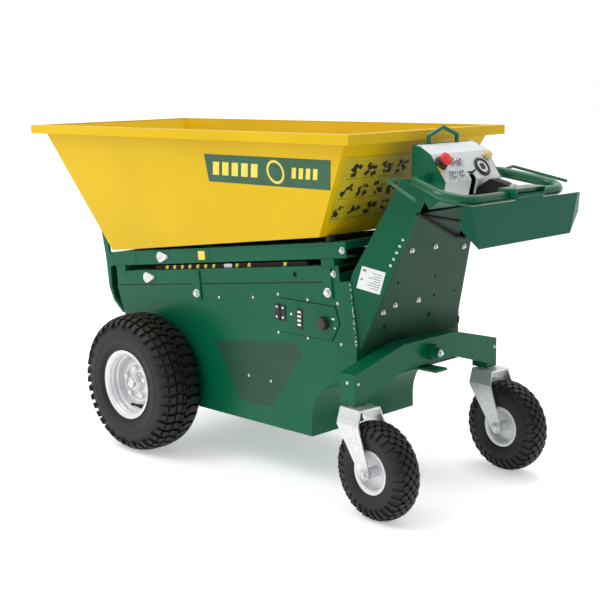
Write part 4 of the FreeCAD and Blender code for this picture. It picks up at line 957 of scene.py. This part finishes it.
def rail_seams():
    """The dark joints in the upper rails, and a black strip along the foot of the lower ones: painted shade
    under their proud edge, over the real step there.
    """
    mesh = Mesh("upper_rail_seams", BLACK_PAINT)
    foot_shade = Mesh("lower_rail_foot_shade", BLACK_PAINT)
    beside = 0.021
    for side in SIDES:
        for u in (-0.058, 0.350):
            place = frame_at(on_rail(u, side * BODY_HALF, UPPER_RAIL), (0, side, 0), RAIL_ALONG)
            slab(mesh, rectangle(0.0014, 0.049), 0.0004, place)
        # Black strip along each lower rail's foot: painted shade under the rail's proud edge, over the real
        # step there.
        for first, last in ((-0.172, TAB_RUNS[0] - beside), (TAB_RUNS[0] + beside, TAB_RUNS[1] - beside)):
            middle = on_rail((first + last) / 2, side * BODY_HALF, -0.0262)
            place = frame_at(middle, (0, side, 0), RAIL_ALONG)
            slab(foot_shade, rectangle(last - first, 0.0034), 0.0004, place)
    mesh.make("lift_frame", "frame_green")
    foot_shade.make("chassis", "frame_dark")


rail_seams()


def door_details():
    """The door's shadow line, hinge screws, charge lights, latch studs and ribbed knob."""
    corners = [(0.212, 0.491), (0.438, 0.491), (0.470, 0.545), (0.452, 0.599), (0.212, 0.599)]
    outline = Mesh("door_shadow_line", BLACK_PAINT)
    for (x0, z0), (x1, z1) in zip(corners, corners[1:] + corners[:1]):
        run = Vector((x1 - x0, 0, z1 - z0))
        out = Vector((run.z, 0, -run.x)).normalized() * 0.0011
        middle = Vector(((x0 + x1) / 2, -BODY_HALF, (z0 + z1) / 2)) + out
        slab(outline, rectangle(run.length + 0.002, 0.0022), 0.0004, frame_at(middle, (0, -1, 0), run))
    outline.make("chassis", "frame_dark")
    screws = Mesh("hinge_screws_panel", WHITE_LENS)
    for z in (0.537, 0.569):
        lathe(screws, dome(0.0042, 0.0022), body_side(0.196, z, out=0.003), 0, 20)
    screws.make("chassis", "zinc", 40)
    leaf = Mesh("hinge_screws_door", WHITE_LENS)
    for z in (0.537, 0.569):
        lathe(leaf, dome(0.0042, 0.0022), body_side(0.226, z, out=0.0055), 0, 20)
    lathe(leaf, dome(0.0045, 0.0028), body_side(0.262, 0.553, out=0.003), 0, 20)
    for x, z in ((0.448, 0.560), (0.452, 0.532), (0.441, 0.560)):
        lathe(leaf, dome(0.0032, 0.0022), body_side(x, z, out=0.003), 0, 16)
    leaf.make("door", "zinc", 40)
    lights = Mesh("charge_lights", WHITE_LENS)
    for step in range(4):
        place = body_side(0.2995, 0.5235 + step * 0.0135, out=0.005)
        slab(lights, rectangle(0.015, 0.0065), 0.0012, place, 0, 0.0006)
    lights.make("door", "plastic_white")
    knob = Mesh("door_knob_grip", KNOB_PLASTIC)
    base = body_side(0.407, 0.543, out=0.0033)
    lathe(knob, [(0.0070, -0.0054), (0.0070, -0.0034), (0.0040, -0.0034), (0.0040, 0.0002), (0.0205, 0.0002),
                 (0.0208, 0.0030), (0.0200, 0.0150), (0.0185, 0.0182), (0.0120, 0.0190), (0.0040, 0.0186)],
          base, 0, 72, lobes=12, depth=0.06)
    knob.make("door_latch", "plastic_black", 40, ("door_knob",))


door_details()


# ---------------------------------------------------------------- console

def fluted_ring(mesh, place):
    """A knurled ring nut round a push button."""
    count = 72
    points = []
    for radius, height in ((0.0093, 0), (0.0093, 0.0050), (0.0104, 0.0062), (0.0124, 0.0058),
                           (0.0148, 0.0030), (0.0148, 0)):
        for step in range(count):
            angle = 2 * math.pi * step / count
            flute = 1 - (0.13 * (0.5 + 0.5 * math.cos(10 * angle)) if radius > 0.011 else 0)
            points.append((radius * flute * math.cos(angle), radius * flute * math.sin(angle), height))
    mesh.put(points, ring_faces(6, count, closed_rows=True), 0, place)


def round_button(name, x, y, body, node):
    """A domed metal push button."""
    mesh = Mesh(name, CHROME, BLACK_PLASTIC)
    place = on_panel(x, y, 0.0035)
    lathe(mesh, [(0.0088, 0.0), (0.0088, 0.0060), (0.0082, 0.0072), (0.0062, 0.0075), (0.0054, 0.0068),
                 (0.0020, 0.0066)], place, 0, 32)
    lathe(mesh, [(0.0030, 0.0060), (0.0030, 0.0070), (0.0022, 0.0072)], place, 1, 16)
    mesh.make(body, "button_steel", 35, (node,))


def console_details():
    """The stop button, bezels, gauge, lamp, and the printed marks on the panel."""
    stop = on_panel(*STOP_SPOT)
    collar = Mesh("stop_button_surround", STOP_YELLOW, BLACK_PLASTIC)
    torus_lathe(collar, [(0.0075, 0), (0.0075, 0.0018), (0.0212, 0.0018), (0.0218, 0.0010), (0.0218, 0)],
                stop, 1, 48)
    for turn in (0, 1):
        corner = stop @ Matrix.Rotation(math.pi * turn, 4, "Z")
        slab(collar, [(0.004, 0.0222), (0.0215, 0.0060), (0.0215, 0.0260), (0.004, 0.0260)], 0.0012,
             corner, 0)
    torus_lathe(collar, [(0.00705, 0.0018), (0.00705, 0.0155), (0.0125, 0.0155), (0.0140, 0.0120),
                         (0.0190, 0.0105), (0.0205, 0.0018)], stop, 1, 48)
    collar.make("chassis", "stop_yellow", 35, ("estop_collar",))
    head = Mesh("stop_button_head", STOP_RED)
    lathe(head, [(0.0068, 0.0055), (0.0068, 0.0195), (0.0130, 0.0198), (0.0188, 0.0212), (0.0202, 0.0248),
                 (0.0200, 0.0290), (0.0180, 0.0325), (0.0130, 0.0342), (0.0050, 0.0346)], stop, 0, 48)
    head.make("emergency_stop", "stop_red", 40, ("estop_button",))

    rings = Mesh("button_rings", CHROME)
    for number, (x, y) in enumerate(BUTTON_SPOTS, start=1):
        fluted_ring(rings, on_panel(x, y))
        round_button(f"push_button_cap_{number}", x, y, f"button_{number}", f"push_button_{number}")
    rings.make("chassis", "button_steel", 40, ("button_bezels",))

    dial = on_panel(*GAUGE_SPOT)
    gauge = Mesh("charge_gauge_face", BLACK_PLASTIC, WHITE_FILM, CHROME)
    torus_lathe(gauge, [(0.0215, 0), (0.0215, 0.0052), (0.0235, 0.0068), (0.0288, 0.0062), (0.0310, 0.0030),
                        (0.0310, 0)], dial, 0, 56)
    lathe(gauge, [(0.0213, 0.0002), (0.0213, 0.0040), (0.0150, 0.0042)], dial, 2, 48)
    torus_lathe(gauge, [(0.0150, 0.0040), (0.0150, 0.0048), (0.0190, 0.0050), (0.0200, 0.0040)], dial, 1, 48)
    slab(gauge, rectangle(0.016, 0.018), 0.0014, dial @ Matrix.Translation((0, 0, 0.0042)), 0)
    gauge.make("chassis", "plastic_black", 35, ("charge_gauge",))

    lamp = Mesh("indicator_lamp_knob", AMBER, CHROME)
    spot = on_panel(*LAMP_SPOT)
    lathe(lamp, [(0.0148, 0), (0.0148, 0.0025), (0.0130, 0.0035)], spot, 1, 32)
    lathe(lamp, [(0.0125, 0.0035), (0.0148, 0.0060), (0.0150, 0.0150), (0.0132, 0.0195), (0.0090, 0.0216),
                 (0.0030, 0.0220)], spot, 0, 64, lobes=7, depth=0.12)
    lamp.make("chassis", "lamp_amber", 40, ("indicator_lamp",))

    marks = Mesh("panel_marks", INK)
    for step in range(9):
        angle = math.radians(-60 + step * 30)
        place = dial @ Matrix.Rotation(angle, 4, "Z") @ Matrix.Translation((0.0350, 0, 0.0001))
        slab(marks, rectangle(0.0035, 0.0012), 0.0003, place)
    for x, y in ((0.755, -0.012), (0.747, -0.008), (0.779, -0.106), (0.781, -0.066), (0.780, -0.027)):
        for offset in (-0.003, 0.0, 0.003):
            slab(marks, rectangle(0.007, 0.0011, 0, offset), 0.0003, on_panel(x, y, 0.0001))
    marks.make("chassis", "panel_silver")

    corner = Mesh("panel_corner_screws", PLATED)
    for y in (-0.124, 0.124):
        place = frame_at((0.681, y, 1.0896), (0.17, 0, 1), (0, 1, 0))
        lathe(corner, dome(0.0055, 0.0035), place, 0, 20)
    hex_head(corner, frame_at((0.926, 0.000, 0.9735), (0, 0, 1), (0, 1, 0)), 0.0085, 0.009)
    corner.make("chassis", "zinc", 40)


console_details()


# ---------------------------------------------------------------- floor, light and camera

def studio():
    """A pale floor, a white surround and broad soft lights."""
    floor = bpy.data.meshes.new("floor")
    floor.from_pydata([(-30, -30, 0), (30, -30, 0), (30, 30, 0), (-30, 30, 0)], [], [(0, 1, 2, 3)])
    s = Surface("pale_floor")
    s.link(s.ramp(s.noise(0.6, 2.0), [(0.3, (0.93, 0.93, 0.93, 1)), (0.7, (0.95, 0.95, 0.95, 1))]),
           s.shader.inputs["Base Color"])
    s.set(Roughness=0.75, Specular_IOR_Level=0.2, Emission_Color=(1, 1, 1, 1), Emission_Strength=0.38)
    floor.materials.append(s.material)
    ground = bpy.data.objects.new("floor", floor)
    bpy.context.scene.collection.objects.link(ground)

    world = bpy.data.worlds.new("surround")
    world.use_nodes = True
    tree = world.node_tree
    toward = tree.nodes.new("ShaderNodeTexCoord")
    split = tree.nodes.new("ShaderNodeSeparateXYZ")
    fade = tree.nodes.new("ShaderNodeMapRange")
    for key, value in (("From Min", 0.0), ("From Max", 0.75), ("To Min", 1.0), ("To Max", 0.55)):
        fade.inputs[key].default_value = value
    tree.links.new(toward.outputs["Generated"], split.inputs["Vector"])
    tree.links.new(split.outputs["X"], fade.inputs["Value"])
    tree.links.new(fade.outputs["Result"], tree.nodes["Background"].inputs["Color"])
    bpy.context.scene.world = world

    def area(name, place, aim, size, power):
        data = bpy.data.lights.new(name, "AREA")
        data.shape = "DISK"
        data.size = size
        data.energy = power
        lamp = bpy.data.objects.new(name, data)
        lamp.location = place
        lamp.rotation_euler = (Vector(aim) - Vector(place)).to_track_quat("-Z", "Y").to_euler()
        bpy.context.scene.collection.objects.link(lamp)

    area("key", (-1.6, -2.6, 4.2), (0, 0, 0.4), 2.6, 60)
    area("top", (0.2, 1.0, 4.6), (0, 0, 0.3), 3.0, 60)
    bpy.context.scene.view_settings.view_transform = "Standard"


def camera():
    """A camera 45 degrees round from the side, looking down about 10 degrees, with a slight roll."""
    turn = math.radians(45)
    down = math.radians(10.41)
    roll = -0.0155
    right = Vector((math.cos(turn), math.sin(turn), 0))
    ahead = Vector((-math.sin(turn) * math.cos(down), math.cos(turn) * math.cos(down), -math.sin(down)))
    up = right.cross(ahead)
    tilted_right = right * math.cos(roll) + up * math.sin(roll)
    tilted_up = up * math.cos(roll) - right * math.sin(roll)
    data = bpy.data.cameras.new("camera")
    data.sensor_width = 36
    data.lens = 73.79
    item = bpy.data.objects.new("camera", data)
    rows = Matrix((tilted_right, tilted_up, -ahead)).transposed().to_4x4()
    item.matrix_world = Matrix.Translation((2.992, -2.943, 1.302)) @ rows
    bpy.context.scene.collection.objects.link(item)
    bpy.context.scene.camera = item


studio()
camera()
